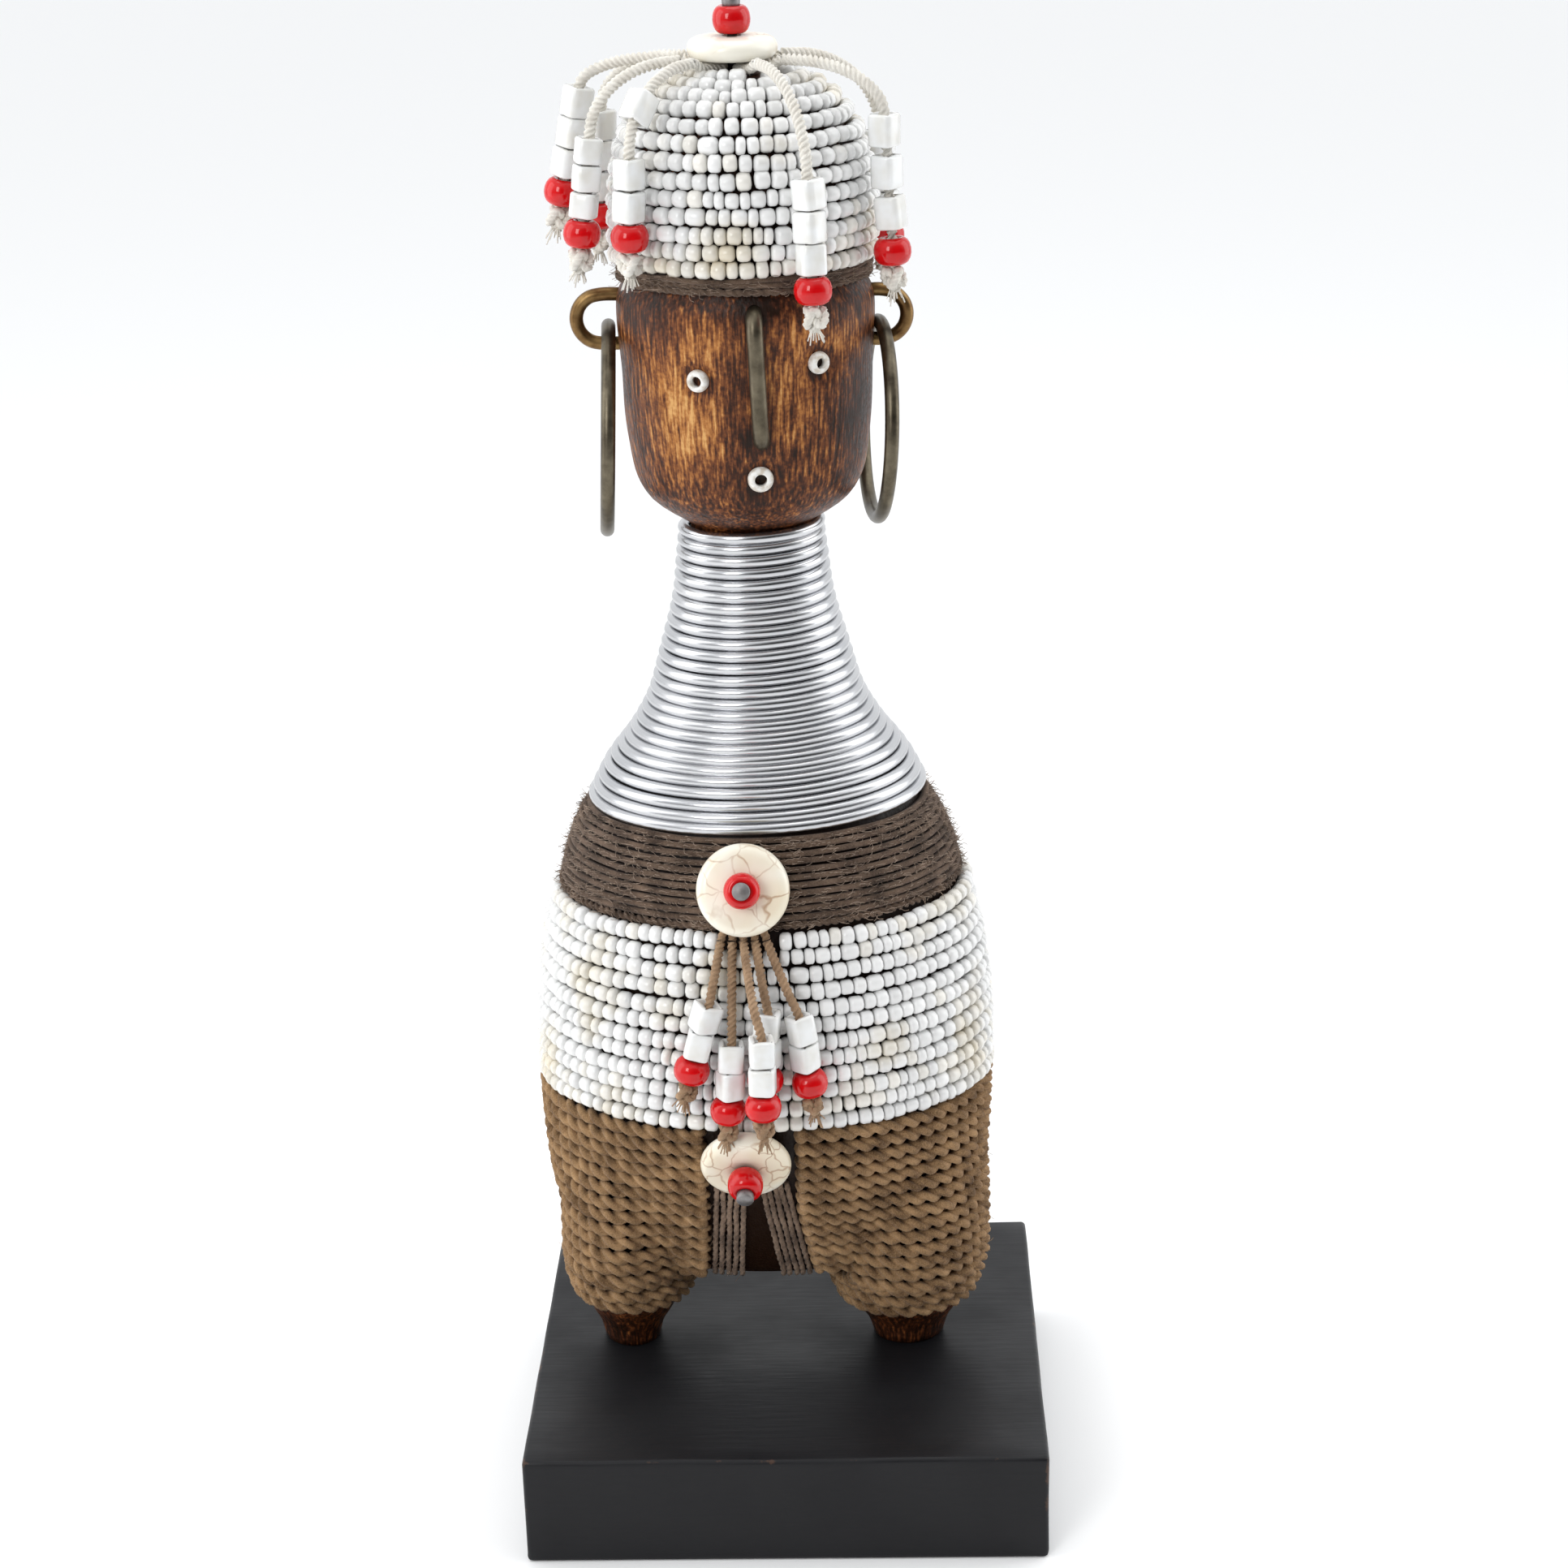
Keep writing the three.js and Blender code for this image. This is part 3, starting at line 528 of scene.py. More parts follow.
for side in (-1, 1):
    cutter = bmesh.new()
    foot = STAND.x + (-28.7 if side < 0 else 27.5) * MM
    bmesh.ops.create_cone(
        cutter, cap_ends=True, segments=32, radius1=0.0031, radius2=0.0031, depth=0.0096,
        matrix=Matrix.Translation((foot, STAND.y, 0)),
    )
    mesh = bpy.data.meshes.new("cutter")
    cutter.to_mesh(mesh)
    cutter.free()
    drill = bpy.data.objects.new("cutter", mesh)
    scene.collection.objects.link(drill)
    bore = block.modifiers.new("nail_recess", "BOOLEAN")
    bore.operation, bore.object, bore.solver = "DIFFERENCE", drill, "EXACT"
    bpy.context.view_layer.update()
    cut = bpy.data.meshes.new_from_object(block.evaluated_get(bpy.context.evaluated_depsgraph_get()))
    block.modifiers.clear()
    block.data = cut
    bpy.data.objects.remove(drill)

# The nails are dull, grey, slightly rusted steel, as are those that pin the three discs.
dull_steel, nodes, links, shader = made_of("dull_steel", (0.23, 0.23, 0.24), 0.5, 0.85)
where = nodes.new("ShaderNodeTexCoord")
rust = nodes.new("ShaderNodeTexNoise")
rust.inputs["Scale"].default_value = 700
rust.inputs["Detail"].default_value = 6
grade = nodes.new("ShaderNodeValToRGB")
grade.color_ramp.elements[0].color = (0.11, 0.085, 0.07, 1)
grade.color_ramp.elements[1].color = (0.34, 0.34, 0.35, 1)
links.new(where.outputs["Object"], rust.inputs["Vector"])
links.new(rust.outputs["Fac"], grade.inputs["Fac"])
links.new(grade.outputs["Color"], shader.inputs["Base Color"])
for name in ("foot_nail_left", "foot_nail_right"):
    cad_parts[name].data.materials.clear()
    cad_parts[name].data.materials.append(dull_steel)

# ---- Carving ----
# The doll's head, neck, body and legs are one piece of dark wood, shaped by knife. Its face is amber on high places,
# partly rubbed by handling, partly painted highlight; painted shade darkens it under the brow and round the beads.
CARVING = [
    (20, 26, 12.5), (27, 36.5, 17), (36, 39.8, 21.5), (46, 40.9, 26), (58, 41.4, 29.6), (72, 41.4, 31.6),
    (86, 40, 31), (99, 37.4, 29), (107, 35.4, 27.7), (112, 33.4, 26.4), (117, 30.4, 24.6), (123.5, 27, 22.2),
    (130, 22.1, 18.7), (137, 18.2, 15.6), (146, 15.5, 13.4), (156, 12.8, 11.2), (163, 11.9, 10.5),
    (171.2, 11.4, 10.1), (172, 13, 11.6), (176, 18.6, 16.5), (180, 20.9, 18.5), (187, 22.2, 19.7),
    (199, 23, 20.4), (213.5, 23.3, 20.8), (217, 21.6, 19.3), (230, 21.3, 19.1), (239, 20, 18),
    (244.5, 17.6, 15.9), (248.6, 12.9, 11.8), (251, 7.5, 7),
]
LEG = [
    (0.3, 5.4, 6.6), (4, 6.3, 7.2), (7.5, 8.1, 9), (11.5, 11.3, 12), (17, 13.3, 15), (25, 13.8, 17.2),
    (35, 14, 18.5), (48, 13.5, 19.5), (58, 12, 19),
]
LEGS = {"left": (-28.7, 2.5, 1.05, 0.81, 10.2), "right": (27.5, -1.6, 1.3, 1.02, 8.6)}  # foot, lean, sole, stoutness, ankle
FRONT = -2.7  # the middle of the doll's front
GAP = 0.3  # air under each winding

outline = [p / MM for p in through([vec(w, d, z) for z, w, d in CARVING], 12)]
reach_up = [0.0]
for below, above in zip(outline, outline[1:]):
    reach_up.append(reach_up[-1] + math.hypot(above.x - below.x, above.z - below.z))


def along_outline(distance):
    """The point of the outline this far along it from the crotch, and its direction there."""
    i = max(1, min(len(outline) - 1, next((k for k, d in enumerate(reach_up) if d >= distance), len(outline) - 1)))
    share = (distance - reach_up[i - 1]) / (reach_up[i] - reach_up[i - 1])
    low, high = outline[max(0, i - 3)], outline[min(len(outline) - 1, i + 2)]
    return outline[i - 1].lerp(outline[i], share), (high - low).normalized()


def distance_to(height):
    """How far along the outline a height lies."""
    i = next(k for k, p in enumerate(outline) if p.z >= height)
    share = (height - outline[i - 1].z) / (outline[i].z - outline[i - 1].z)
    return reach_up[i - 1] + share * (reach_up[i] - reach_up[i - 1])


def on_skin(distance, bearing, grow, lift=0.0):
    """A point this far outside the carving, at a bearing from its front, in the row's own frame."""
    at, up = along_outline(distance)
    slope = math.hypot(up.x, up.z)
    out = grow * up.z / slope
    height = at.z - grow * up.x / slope + lift
    return STAND + vec(math.sin(bearing) * (at.x + out), -math.cos(bearing) * (at.y + out), height)


def lofted(levels, sides):
    """A closed oval body through (half width, half depth, height) levels, in millimetres."""
    bm = bmesh.new()
    first = levels[0]
    ring = bmesh.ops.create_circle(
        bm, segments=sides, radius=1,
        matrix=Matrix.Translation((0, 0, first.z * MM)) @ Matrix.Diagonal((first.x * MM, first.y * MM, 1, 1)),
    )["verts"]
    edges = list({e for v in ring for e in v.link_edges})
    bmesh.ops.contextual_create(bm, geom=edges)
    for below, above in zip(levels, levels[1:]):
        grown = bmesh.ops.extrude_edge_only(bm, edges=edges)["geom"]
        edges = [e for e in grown if isinstance(e, bmesh.types.BMEdge)]
        verts = [v for v in grown if isinstance(v, bmesh.types.BMVert)]
        scale = Matrix.Diagonal((above.x / below.x, above.y / below.y, 1, 1))
        bmesh.ops.transform(bm, matrix=Matrix.Translation((0, 0, (above.z - below.z) * MM)) @ scale, verts=verts)
    bmesh.ops.contextual_create(bm, geom=edges)
    bmesh.ops.recalc_face_normals(bm, faces=bm.faces)
    return bm


def levelled(points, step):
    """Levels a step apart in height, read off a smooth outline."""
    levels, height = [points[0]], points[0].z + step
    for below, above in zip(points, points[1:]):
        while above.z >= height and above.z > below.z:
            levels.append(below.lerp(above, (height - below.z) / (above.z - below.z)))
            height += step
    return [*levels, points[-1]]


def loose(name, bm):
    mesh = bpy.data.meshes.new(name)
    bm.to_mesh(mesh)
    bm.free()
    thing = bpy.data.objects.new(name, mesh)
    scene.collection.objects.link(thing)
    return thing


figure = lofted(levelled(outline, 1.3), 112)
bmesh.ops.translate(figure, verts=figure.verts, vec=STAND)
figure = loose("figure", figure)
for foot, lean, sole, stout, _ in LEGS.values():
    shape = through([vec(w * (sole if z < 8 else stout), d, z) for z, w, d in LEG], 6)
    limb = lofted(levelled([p / MM for p in shape], 1.2), 56)
    place = Matrix.Translation(STAND + vec(foot, 0, 0)) @ Matrix.Rotation(math.radians(lean), 4, "Y")
    bmesh.ops.transform(limb, matrix=place, verts=limb.verts)
    limb = loose("limb", limb)
    join = figure.modifiers.new("join", "BOOLEAN")
    join.operation, join.object, join.solver = "UNION", limb, "EXACT"
    bpy.context.view_layer.update()
    joined = bpy.data.meshes.new_from_object(figure.evaluated_get(bpy.context.evaluated_depsgraph_get()))
    figure.modifiers.clear()
    figure.data = joined
    bpy.data.objects.remove(limb)

FACE_BEADS = {
    "eye_bead_left": (-8.2, 201.3, 2.05), "eye_bead_right": (13.5, 203.7, 2.05), "mouth_bead": (2.6, 183.1, 2.35),
}
face_places = {}
for name, (x, z, radius) in FACE_BEADS.items():
    at, up = along_outline(distance_to(z))
    y = -at.y * math.sqrt(1 - (x / at.x) ** 2)
    face_places[name] = aimed(STAND + vec(x, y, z), Vector((x / at.x**2, y / at.y**2, 0)))

carving = bmesh.new()
carving.from_mesh(figure.data)
bpy.data.objects.remove(figure)
for v in carving.verts:
    height = v.co.z / MM
    if height > 188 or height < 36:
        knife = noise.noise(v.co * 90) * 0.22 + noise.noise(Vector((v.co.x * 400, v.co.y * 400, v.co.z * 40))) * 0.07
        v.co.x += v.co.x * knife / 22
        v.co.y += v.co.y * knife / 22
    for name, place in face_places.items():
        near = (v.co - place.translation).length / (FACE_BEADS[name][2] * MM)
        if near < 2:
            v.co -= place.to_3x3() @ Vector((0, 0, 1)) * 0.75 * MM * (1 - (near / 2) ** 2)

wood, nodes, links, shader = made_of("carved_wood", (0.1, 0.04, 0.02), 0.42, Specular_IOR_Level=0.2)
where = nodes.new("ShaderNodeTexCoord")
patches = nodes.new("ShaderNodeTexNoise")
patches.inputs["Scale"].default_value = 95
patches.inputs["Detail"].default_value = 5
patches.inputs["Roughness"].default_value = 0.6
grain = nodes.new("ShaderNodeTexNoise")
grain.inputs["Scale"].default_value = 1700
grain.inputs["Detail"].default_value = 5
specks = nodes.new("ShaderNodeTexNoise")
specks.inputs["Scale"].default_value = 1400
specks.inputs["Detail"].default_value = 3
upright = nodes.new("ShaderNodeMapping")
upright.inputs["Scale"].default_value = (1, 1, 0.12)
longish = nodes.new("ShaderNodeMapping")
longish.inputs["Scale"].default_value = (1, 1, 0.45)
links.new(where.outputs["Object"], upright.inputs["Vector"])
links.new(where.outputs["Object"], longish.inputs["Vector"])
links.new(upright.outputs["Vector"], grain.inputs["Vector"])
links.new(longish.outputs["Vector"], patches.inputs["Vector"])
links.new(where.outputs["Object"], specks.inputs["Vector"])


def spot(centre, radius, amount):
    """Adds an amount at a point of the doll's frame, fading out to nothing at a radius."""
    distance = nodes.new("ShaderNodeVectorMath")
    distance.operation = "DISTANCE"
    distance.inputs[1].default_value = STAND + vec(*centre)
    links.new(where.outputs["Object"], distance.inputs[0])
    fade = nodes.new("ShaderNodeMapRange")
    fade.interpolation_type = "SMOOTHSTEP"
    fade.inputs["From Max"].default_value = radius * MM
    fade.inputs["To Min"].default_value, fade.inputs["To Max"].default_value = amount, 0
    links.new(distance.outputs["Value"], fade.inputs["Value"])
    return fade.outputs["Result"]


# Random patches, grain and specks give the wood its own tone; the spots below add painted highlight and painted shade.
tone = arithmetic(nodes, links, "MULTIPLY", patches.outputs["Fac"], 0.85)
tone = arithmetic(nodes, links, "ADD", tone, arithmetic(nodes, links, "MULTIPLY", grain.outputs["Fac"], 1.35))
tone = arithmetic(nodes, links, "ADD", tone, arithmetic(nodes, links, "MULTIPLY", specks.outputs["Fac"], 0.5))
tone = arithmetic(nodes, links, "SUBTRACT", tone, 0.96)
# Painted highlight, partly real rubbed amber, lightens the cheeks and forehead, most on the front left. Painted shade
# darkens the head's two sides, the pits round the eye and mouth beads, the nose wire's ends, the chin and the neck
# below it.
for centre, radius, amount in [
    ((-12, -17, 194), 13, 0.3), ((-6, -20, 207), 9, 0.16), ((8, -19, 196), 10, 0.14), ((14, -16, 207), 8, 0.12),
    ((-16, -14, 203), 8, 0.12), ((1, -20, 181), 9, -0.06), ((-8.2, -19, 201.3), 4.2, -0.3),
    ((13.5, -16.5, 203.7), 4.4, -0.3), ((2.6, -19.5, 183.1), 5, -0.26), ((2.6, -20, 190), 4.5, -0.22),
    ((2.3, -20, 213), 5, -0.26), ((22, -8, 196), 15, -0.2), ((-23, -4, 200), 10, -0.22), ((0, 0, 172), 19.5, -0.22),
]:
    tone = arithmetic(nodes, links, "ADD", tone, spot(centre, radius, amount))
parts = nodes.new("ShaderNodeSeparateXYZ")
links.new(where.outputs["Object"], parts.inputs["Vector"])
# Painted shade: the wood is darkened from just under the brow yarn upwards.
brow = nodes.new("ShaderNodeMapRange")
brow.inputs["From Min"].default_value, brow.inputs["From Max"].default_value = 0.2315, 0.2375
brow.inputs["To Max"].default_value = -0.2
links.new(parts.outputs["Z"], brow.inputs["Value"])
tone = arithmetic(nodes, links, "ADD", tone, brow.outputs["Result"])
# Painted shade: the body is darkened where the windings cover it, so the gaps between them look shadowed.
body_shade_bottom = nodes.new("ShaderNodeMapRange")
body_shade_bottom.inputs["From Min"].default_value, body_shade_bottom.inputs["From Max"].default_value = 0.031, 0.040
body_shade_bottom.inputs["To Min"].default_value, body_shade_bottom.inputs["To Max"].default_value = 0, 1
above_body = nodes.new("ShaderNodeMapRange")
above_body.inputs["From Min"].default_value, above_body.inputs["From Max"].default_value = 0.186, 0.190
above_body.inputs["To Min"].default_value, above_body.inputs["To Max"].default_value = 1, 0
links.new(parts.outputs["Z"], body_shade_bottom.inputs["Value"])
links.new(parts.outputs["Z"], above_body.inputs["Value"])
body_shade = arithmetic(nodes, links, "MULTIPLY", body_shade_bottom.outputs["Result"], above_body.outputs["Result"])
tone = arithmetic(nodes, links, "SUBTRACT", tone, arithmetic(nodes, links, "MULTIPLY", body_shade, 0.6))
feet = nodes.new("ShaderNodeMapRange")
feet.inputs["From Min"].default_value, feet.inputs["From Max"].default_value = 0.020, 0.036
feet.inputs["To Min"].default_value, feet.inputs["To Max"].default_value = -0.16, 0
links.new(parts.outputs["Z"], feet.inputs["Value"])
tone = arithmetic(nodes, links, "ADD", tone, feet.outputs["Result"])
grade = nodes.new("ShaderNodeValToRGB")
ramp = grade.color_ramp
ramp.elements[0].position, ramp.elements[0].color = 0.08, (0.013, 0.005, 0.002, 1)
ramp.elements[1].position, ramp.elements[1].color = 0.92, (0.62, 0.34, 0.12, 1)
for position, color in ((0.3, (0.045, 0.013, 0.005, 1)), (0.5, (0.16, 0.05, 0.015, 1)), (0.7, (0.4, 0.16, 0.042, 1))):
    ramp.elements.new(position).color = color
links.new(tone, grade.inputs["Fac"])
links.new(grade.outputs["Color"], shader.inputs["Base Color"])
sheen = nodes.new("ShaderNodeMapRange")
sheen.inputs["From Min"].default_value, sheen.inputs["From Max"].default_value = 0.3, 0.7
sheen.inputs["To Min"].default_value, sheen.inputs["To Max"].default_value = 0.3, 0.55
links.new(specks.outputs["Fac"], sheen.inputs["Value"])
links.new(sheen.outputs["Result"], shader.inputs["Roughness"])
rough = arithmetic(nodes, links, "ADD", grain.outputs["Fac"], arithmetic(nodes, links, "MULTIPLY", specks.outputs["Fac"], 0.5))
bump = nodes.new("ShaderNodeBump")
bump.inputs["Strength"].default_value = 0.5
bump.inputs["Distance"].default_value = 0.0003
links.new(rough, bump.inputs["Height"])
links.new(bump.outputs["Normal"], shader.inputs["Normal"])
carving = finished("carving", carving, wood, "doll", ["carved_figure"])

# ---- Eyes, mouth and nose ----
# The eyes and the mouth are white seed beads pressed hole-outwards into small pits. The nose is a length
# of thick wire, greyed and brassy, whose ends turn back into the wood.
old_glass, nodes, links, shader = made_of("handled_bead", (0.75, 0.73, 0.68), 0.4)
where = nodes.new("ShaderNodeTexCoord")
grime = nodes.new("ShaderNodeTexNoise")
grime.inputs["Scale"].default_value = 900
grade = nodes.new("ShaderNodeValToRGB")
grade.color_ramp.elements[0].position, grade.color_ramp.elements[1].position = 0.35, 0.6
grade.color_ramp.elements[0].color = (0.55, 0.49, 0.41, 1)
grade.color_ramp.elements[1].color = (0.78, 0.77, 0.74, 1)
links.new(where.outputs["Object"], grime.inputs["Vector"])
links.new(grime.outputs["Fac"], grade.inputs["Fac"])
links.new(grade.outputs["Color"], shader.inputs["Base Color"])
for name, (x, z, radius) in FACE_BEADS.items():
    ring = bmesh.new()
    turned(ring, [(r, h - 1.5) for r, h in bead_profile(radius, 2.4, radius * 0.48)], 28, face_places[name])
    finished(f"{name}_glass", ring, old_glass, "doll", [name])


def tarnished(name, dark, light):
    """A dull metal, darker where it has tarnished."""
    material, nodes, links, shader = made_of(name, light, 0.42, 0.9)
    where = nodes.new("ShaderNodeTexCoord")
    tarnish = nodes.new("ShaderNodeTexNoise")
    tarnish.inputs["Scale"].default_value = 260
    tarnish.inputs["Detail"].default_value = 7
    tarnish.inputs["Roughness"].default_value = 0.6
    grade = nodes.new("ShaderNodeValToRGB")
    grade.color_ramp.elements[0].position, grade.color_ramp.elements[1].position = 0.32, 0.7
    grade.color_ramp.elements[0].color, grade.color_ramp.elements[1].color = (*dark, 1), (*light, 1)
    dull = nodes.new("ShaderNodeMapRange")
    dull.inputs["To Min"].default_value, dull.inputs["To Max"].default_value = 0.24, 0.5
    bump = nodes.new("ShaderNodeBump")
    bump.inputs["Strength"].default_value = 0.25
    bump.inputs["Distance"].default_value = 0.0001
    links.new(where.outputs["Object"], tarnish.inputs["Vector"])
    for socket in (grade.inputs["Fac"], dull.inputs["Value"], bump.inputs["Height"]):
        links.new(tarnish.outputs["Fac"], socket)
    links.new(grade.outputs["Color"], shader.inputs["Base Color"])
    links.new(dull.outputs["Result"], shader.inputs["Roughness"])
    links.new(bump.outputs["Normal"], shader.inputs["Normal"])
    return material


aged_brass = tarnished("aged_brass", (0.05, 0.04, 0.027), (0.17, 0.145, 0.1))
ear_brass = tarnished("ear_brass", (0.1, 0.05, 0.018), (0.3, 0.19, 0.075))


def half_depth(height):
    return along_outline(distance_to(min(height, 213)))[0].y


nose = [
    (2.2, -half_depth(213) + 5, 213.6), (2.2, -half_depth(213) + 0.7, 213.5), (2.3, -half_depth(211) - 1.3, 211.2),
    (2.6, -half_depth(202) - 1.3, 201.8), (2.9, -half_depth(190) - 1.3, 192.4), (3, -half_depth(190) + 0.7, 190.1),
    (3, -half_depth(190) + 5, 190),
]
nose = [p + STAND for p in through([vec(*p) for p in nose], 14)]
dressed("nose_wire", strands([nose], strand_section(1.5 * MM, sides=20)), aged_brass, "doll", ["nose_staple"])

# ---- Ear loops and hoops ----
# A thick wire staple is driven into each side of the head, and a cast hoop hangs free in it.
EARS = {"left": (-1, 26.4, 4.2, 18.7, 25.1), "right": (1, 24.8, 8, 17.9, 24.5)}
for name, (side, reach, turn, radius, x) in EARS.items():
    bend = [vec(side * 17, 0, 213.3), vec(side * 22, 0, 213.3)]
    for step in range(7):
        a = math.pi * (0.5 - step / 6)
        bend.append(vec(side * (reach + 4.5 * math.cos(a)), 0, 208.8 + 4.5 * math.sin(a)))
    bend += [vec(side * 22, 0, 204.3), vec(side * 17, 0, 204.3)]
    bend = [p + STAND for p in through(bend, 6)]
    staple = strands([bend], strand_section(1.25 * MM, sides=16))
    dressed(f"ear_wire_{name}", staple, ear_brass, "doll", [f"ear_loop_{name}"])
    hang = Matrix.Translation(STAND + vec(side * x, 0, 204.3 + 1.25 + 0.3 + 1.3))
    swivel = hang @ Matrix.Rotation(math.radians(turn), 4, "Z") @ Matrix.Rotation(math.radians(2.7), 4, "Y")
    ring = [
        swivel @ (Vector((0, math.cos(a), math.sin(a) - 1)) * radius * MM)
        for a in (2 * math.pi * i / 120 for i in range(120))
    ]
    hoop = strands([ring], strand_section(1.3 * MM, sides=16), closed=True)
    dressed(f"hoop_{name}", hoop, aged_brass, f"earring_{name}", [f"earring_{name}"])

# ---- Seed bead windings ----
# White glass seed beads are strung on dark thread and wound tight in rows, 12 round the body and about a
# dozen up over the crown of the head. The beads are uneven, so the rows waver and dark gaps open.
seed_glass, nodes, links, shader = made_of("seed_glass", (0.8, 0.8, 0.78), 0.2, Coat_Weight=0.35, Coat_Roughness=0.1)
shade = nodes.new("ShaderNodeAttribute")
shade.attribute_name = "shade"
where = nodes.new("ShaderNodeTexCoord")
film = nodes.new("ShaderNodeTexNoise")
film.inputs["Scale"].default_value = 60
film.inputs["Detail"].default_value = 5
grade = nodes.new("ShaderNodeValToRGB")
grade.color_ramp.elements[0].position, grade.color_ramp.elements[1].position = 0.32, 0.5
grade.color_ramp.elements[0].color = (0.86, 0.8, 0.68, 1)
grade.color_ramp.elements[1].color = (1, 1, 1, 1)
tint = nodes.new("ShaderNodeMix")
tint.data_type, tint.blend_type = "RGBA", "MULTIPLY"
tint.inputs[0].default_value = 1
links.new(where.outputs["Object"], film.inputs["Vector"])
links.new(film.outputs["Fac"], grade.inputs["Fac"])
links.new(shade.outputs["Color"], tint.inputs[6])
links.new(grade.outputs["Color"], tint.inputs[7])
links.new(tint.outputs[2], shader.inputs["Base Color"])


def seed_rows(distances, radius, seed, dirty, skipped=lambda point: False):
    """Rows of uneven seed beads round the carving, each this far along its outline."""
    chance = random.Random(seed)
    bm = bmesh.new()
    shades = bm.verts.layers.float_color.new("shade")
    bmesh.ops.create_cone(bm, cap_ends=True, segments=9, radius1=1, radius2=1, depth=2)
    rims = [e for e in bm.edges if abs(e.verts[0].co.z - e.verts[1].co.z) < 0.1]
    bmesh.ops.bevel(bm, geom=rims, offset=0.52, segments=2, affect="EDGES", profile=0.5, material=-1)
    pattern = [*bm.verts, *bm.edges, *bm.faces]
    for row, distance in enumerate(distances):
        start = math.pi + chance.uniform(-0.6, 0.6)
        bearing = start
        while True:
            width = min(3.6, max(1.75, chance.gauss(2.45, 0.42)))
            size = radius * min(1.08, max(0.9, chance.gauss(1, 0.05)))
            here = on_skin(distance, bearing, GAP + 1.55)
            speed = (on_skin(distance, bearing + 0.01, GAP + 1.55) - here).length / 0.01 / MM
            middle = bearing + width / 2 / speed
            if bearing + width / speed > start + 2 * math.pi:
                break
            waver = 0.42 * noise.noise(Vector((math.cos(middle) * 2.2, math.sin(middle) * 2.2, row * 3.7 + seed)))
            lift = waver + chance.uniform(-0.1, 0.1)
            at = on_skin(distance, middle, GAP + 1.55 + chance.uniform(-0.1, 0.12), lift)
            along = (on_skin(distance, middle + 0.02, GAP + 1.55) - here).normalized()
            bearing += (width + abs(chance.gauss(0.1, 0.12))) / speed
            if skipped(at):
                continue
            tip = Matrix.Rotation(chance.uniform(-0.09, 0.09), 4, "X") @ Matrix.Rotation(chance.uniform(-0.09, 0.09), 4, "Y")
            place = aimed(at, along) @ tip @ Matrix.Rotation(chance.uniform(0, 1), 4, "Z")
            place = place @ Matrix.Diagonal((size * MM, size * MM, width / 2 * MM, 1))
            copy = bmesh.ops.duplicate(bm, geom=pattern)["geom"]
            verts = [v for v in copy if isinstance(v, bmesh.types.BMVert)]
            bmesh.ops.transform(bm, matrix=place, verts=verts)
            pale = chance.uniform(0.7, 0.81)
            warm = chance.random() < dirty(row)
            for v in verts:
                v[shades] = (pale, pale * (0.97 if warm else 1), pale * (0.9 if warm else 0.99), 1)
    bmesh.ops.delete(bm, geom=pattern[: len([v for v in pattern if isinstance(v, bmesh.types.BMVert)])], context="VERTS")
    return bm


low, high = distance_to(60.3 + 1.55), distance_to(99.7 - 1.55)
band = [low + (high - low) * row / 11 for row in range(12)]


def under_disc(point):
    """The top row stops short of the cords that hang from the chest disc."""
    x, height = (point.x - STAND.x) / MM, (point.z - STAND.z) / MM
    return point.y < 0 and FRONT - 5 < x < FRONT + 5.7 and height > 96


band = seed_rows(band, 1.62, 4, lambda row: 0.3 if row < 3 else 0.05, under_disc)
finished("body_seed_beads", band, seed_glass, "doll", ["bead_band"])



def under_cords(point):
    """The top row leaves room for the tassels' cords."""
    height, bearing = (point.z - STAND.z) / MM, math.degrees(math.atan2(point.x - STAND.x + 0.0011, STAND.y - point.y))
    return height > 252.6 and any(abs((bearing - cord[0] + 180) % 360 - 180) < 9 for cord in CROWN_TASSELS)


start, top = distance_to(220.4 + 1.0), reach_up[-1] - 0.2
cap = [start + (top - start) * row / 12 for row in range(13)]
cap = seed_rows(cap, 1.57, 9, lambda row: 0.7 if row < 1 else 0.06, under_cords)
finished("cap_seed_beads", cap, seed_glass, "doll", ["bead_cap"])

# ---- Neck wire ----
# One length of bright aluminium wire is wound about 26 times, from the shoulders up to the chin, each
# turn tight on the last. Its two ends are tucked in at the back.
aluminium, nodes, links, shader = made_of("aluminium_wire", (0.76, 0.77, 0.78), 0.24, 1.0)
where = nodes.new("ShaderNodeTexCoord")
scratch = nodes.new("ShaderNodeTexNoise")
scratch.inputs["Scale"].default_value = 160
scratch.inputs["Detail"].default_value = 3
smear = nodes.new("ShaderNodeMapping")
smear.inputs["Scale"].default_value = (0.25, 0.25, 2.5)
dull = nodes.new("ShaderNodeMapRange")
dull.inputs["To Min"].default_value, dull.inputs["To Max"].default_value = 0.16, 0.3
links.new(where.outputs["Object"], smear.inputs["Vector"])
links.new(smear.outputs["Vector"], scratch.inputs["Vector"])
links.new(scratch.outputs["Fac"], dull.inputs["Value"])
links.new(dull.outputs["Result"], shader.inputs["Roughness"])
grade = nodes.new("ShaderNodeValToRGB")
grade.color_ramp.elements[0].color = (0.43, 0.44, 0.46, 1)
grade.color_ramp.elements[1].color = (0.64, 0.64, 0.65, 1)
links.new(scratch.outputs["Fac"], grade.inputs["Fac"])
links.new(grade.outputs["Color"], shader.inputs["Base Color"])


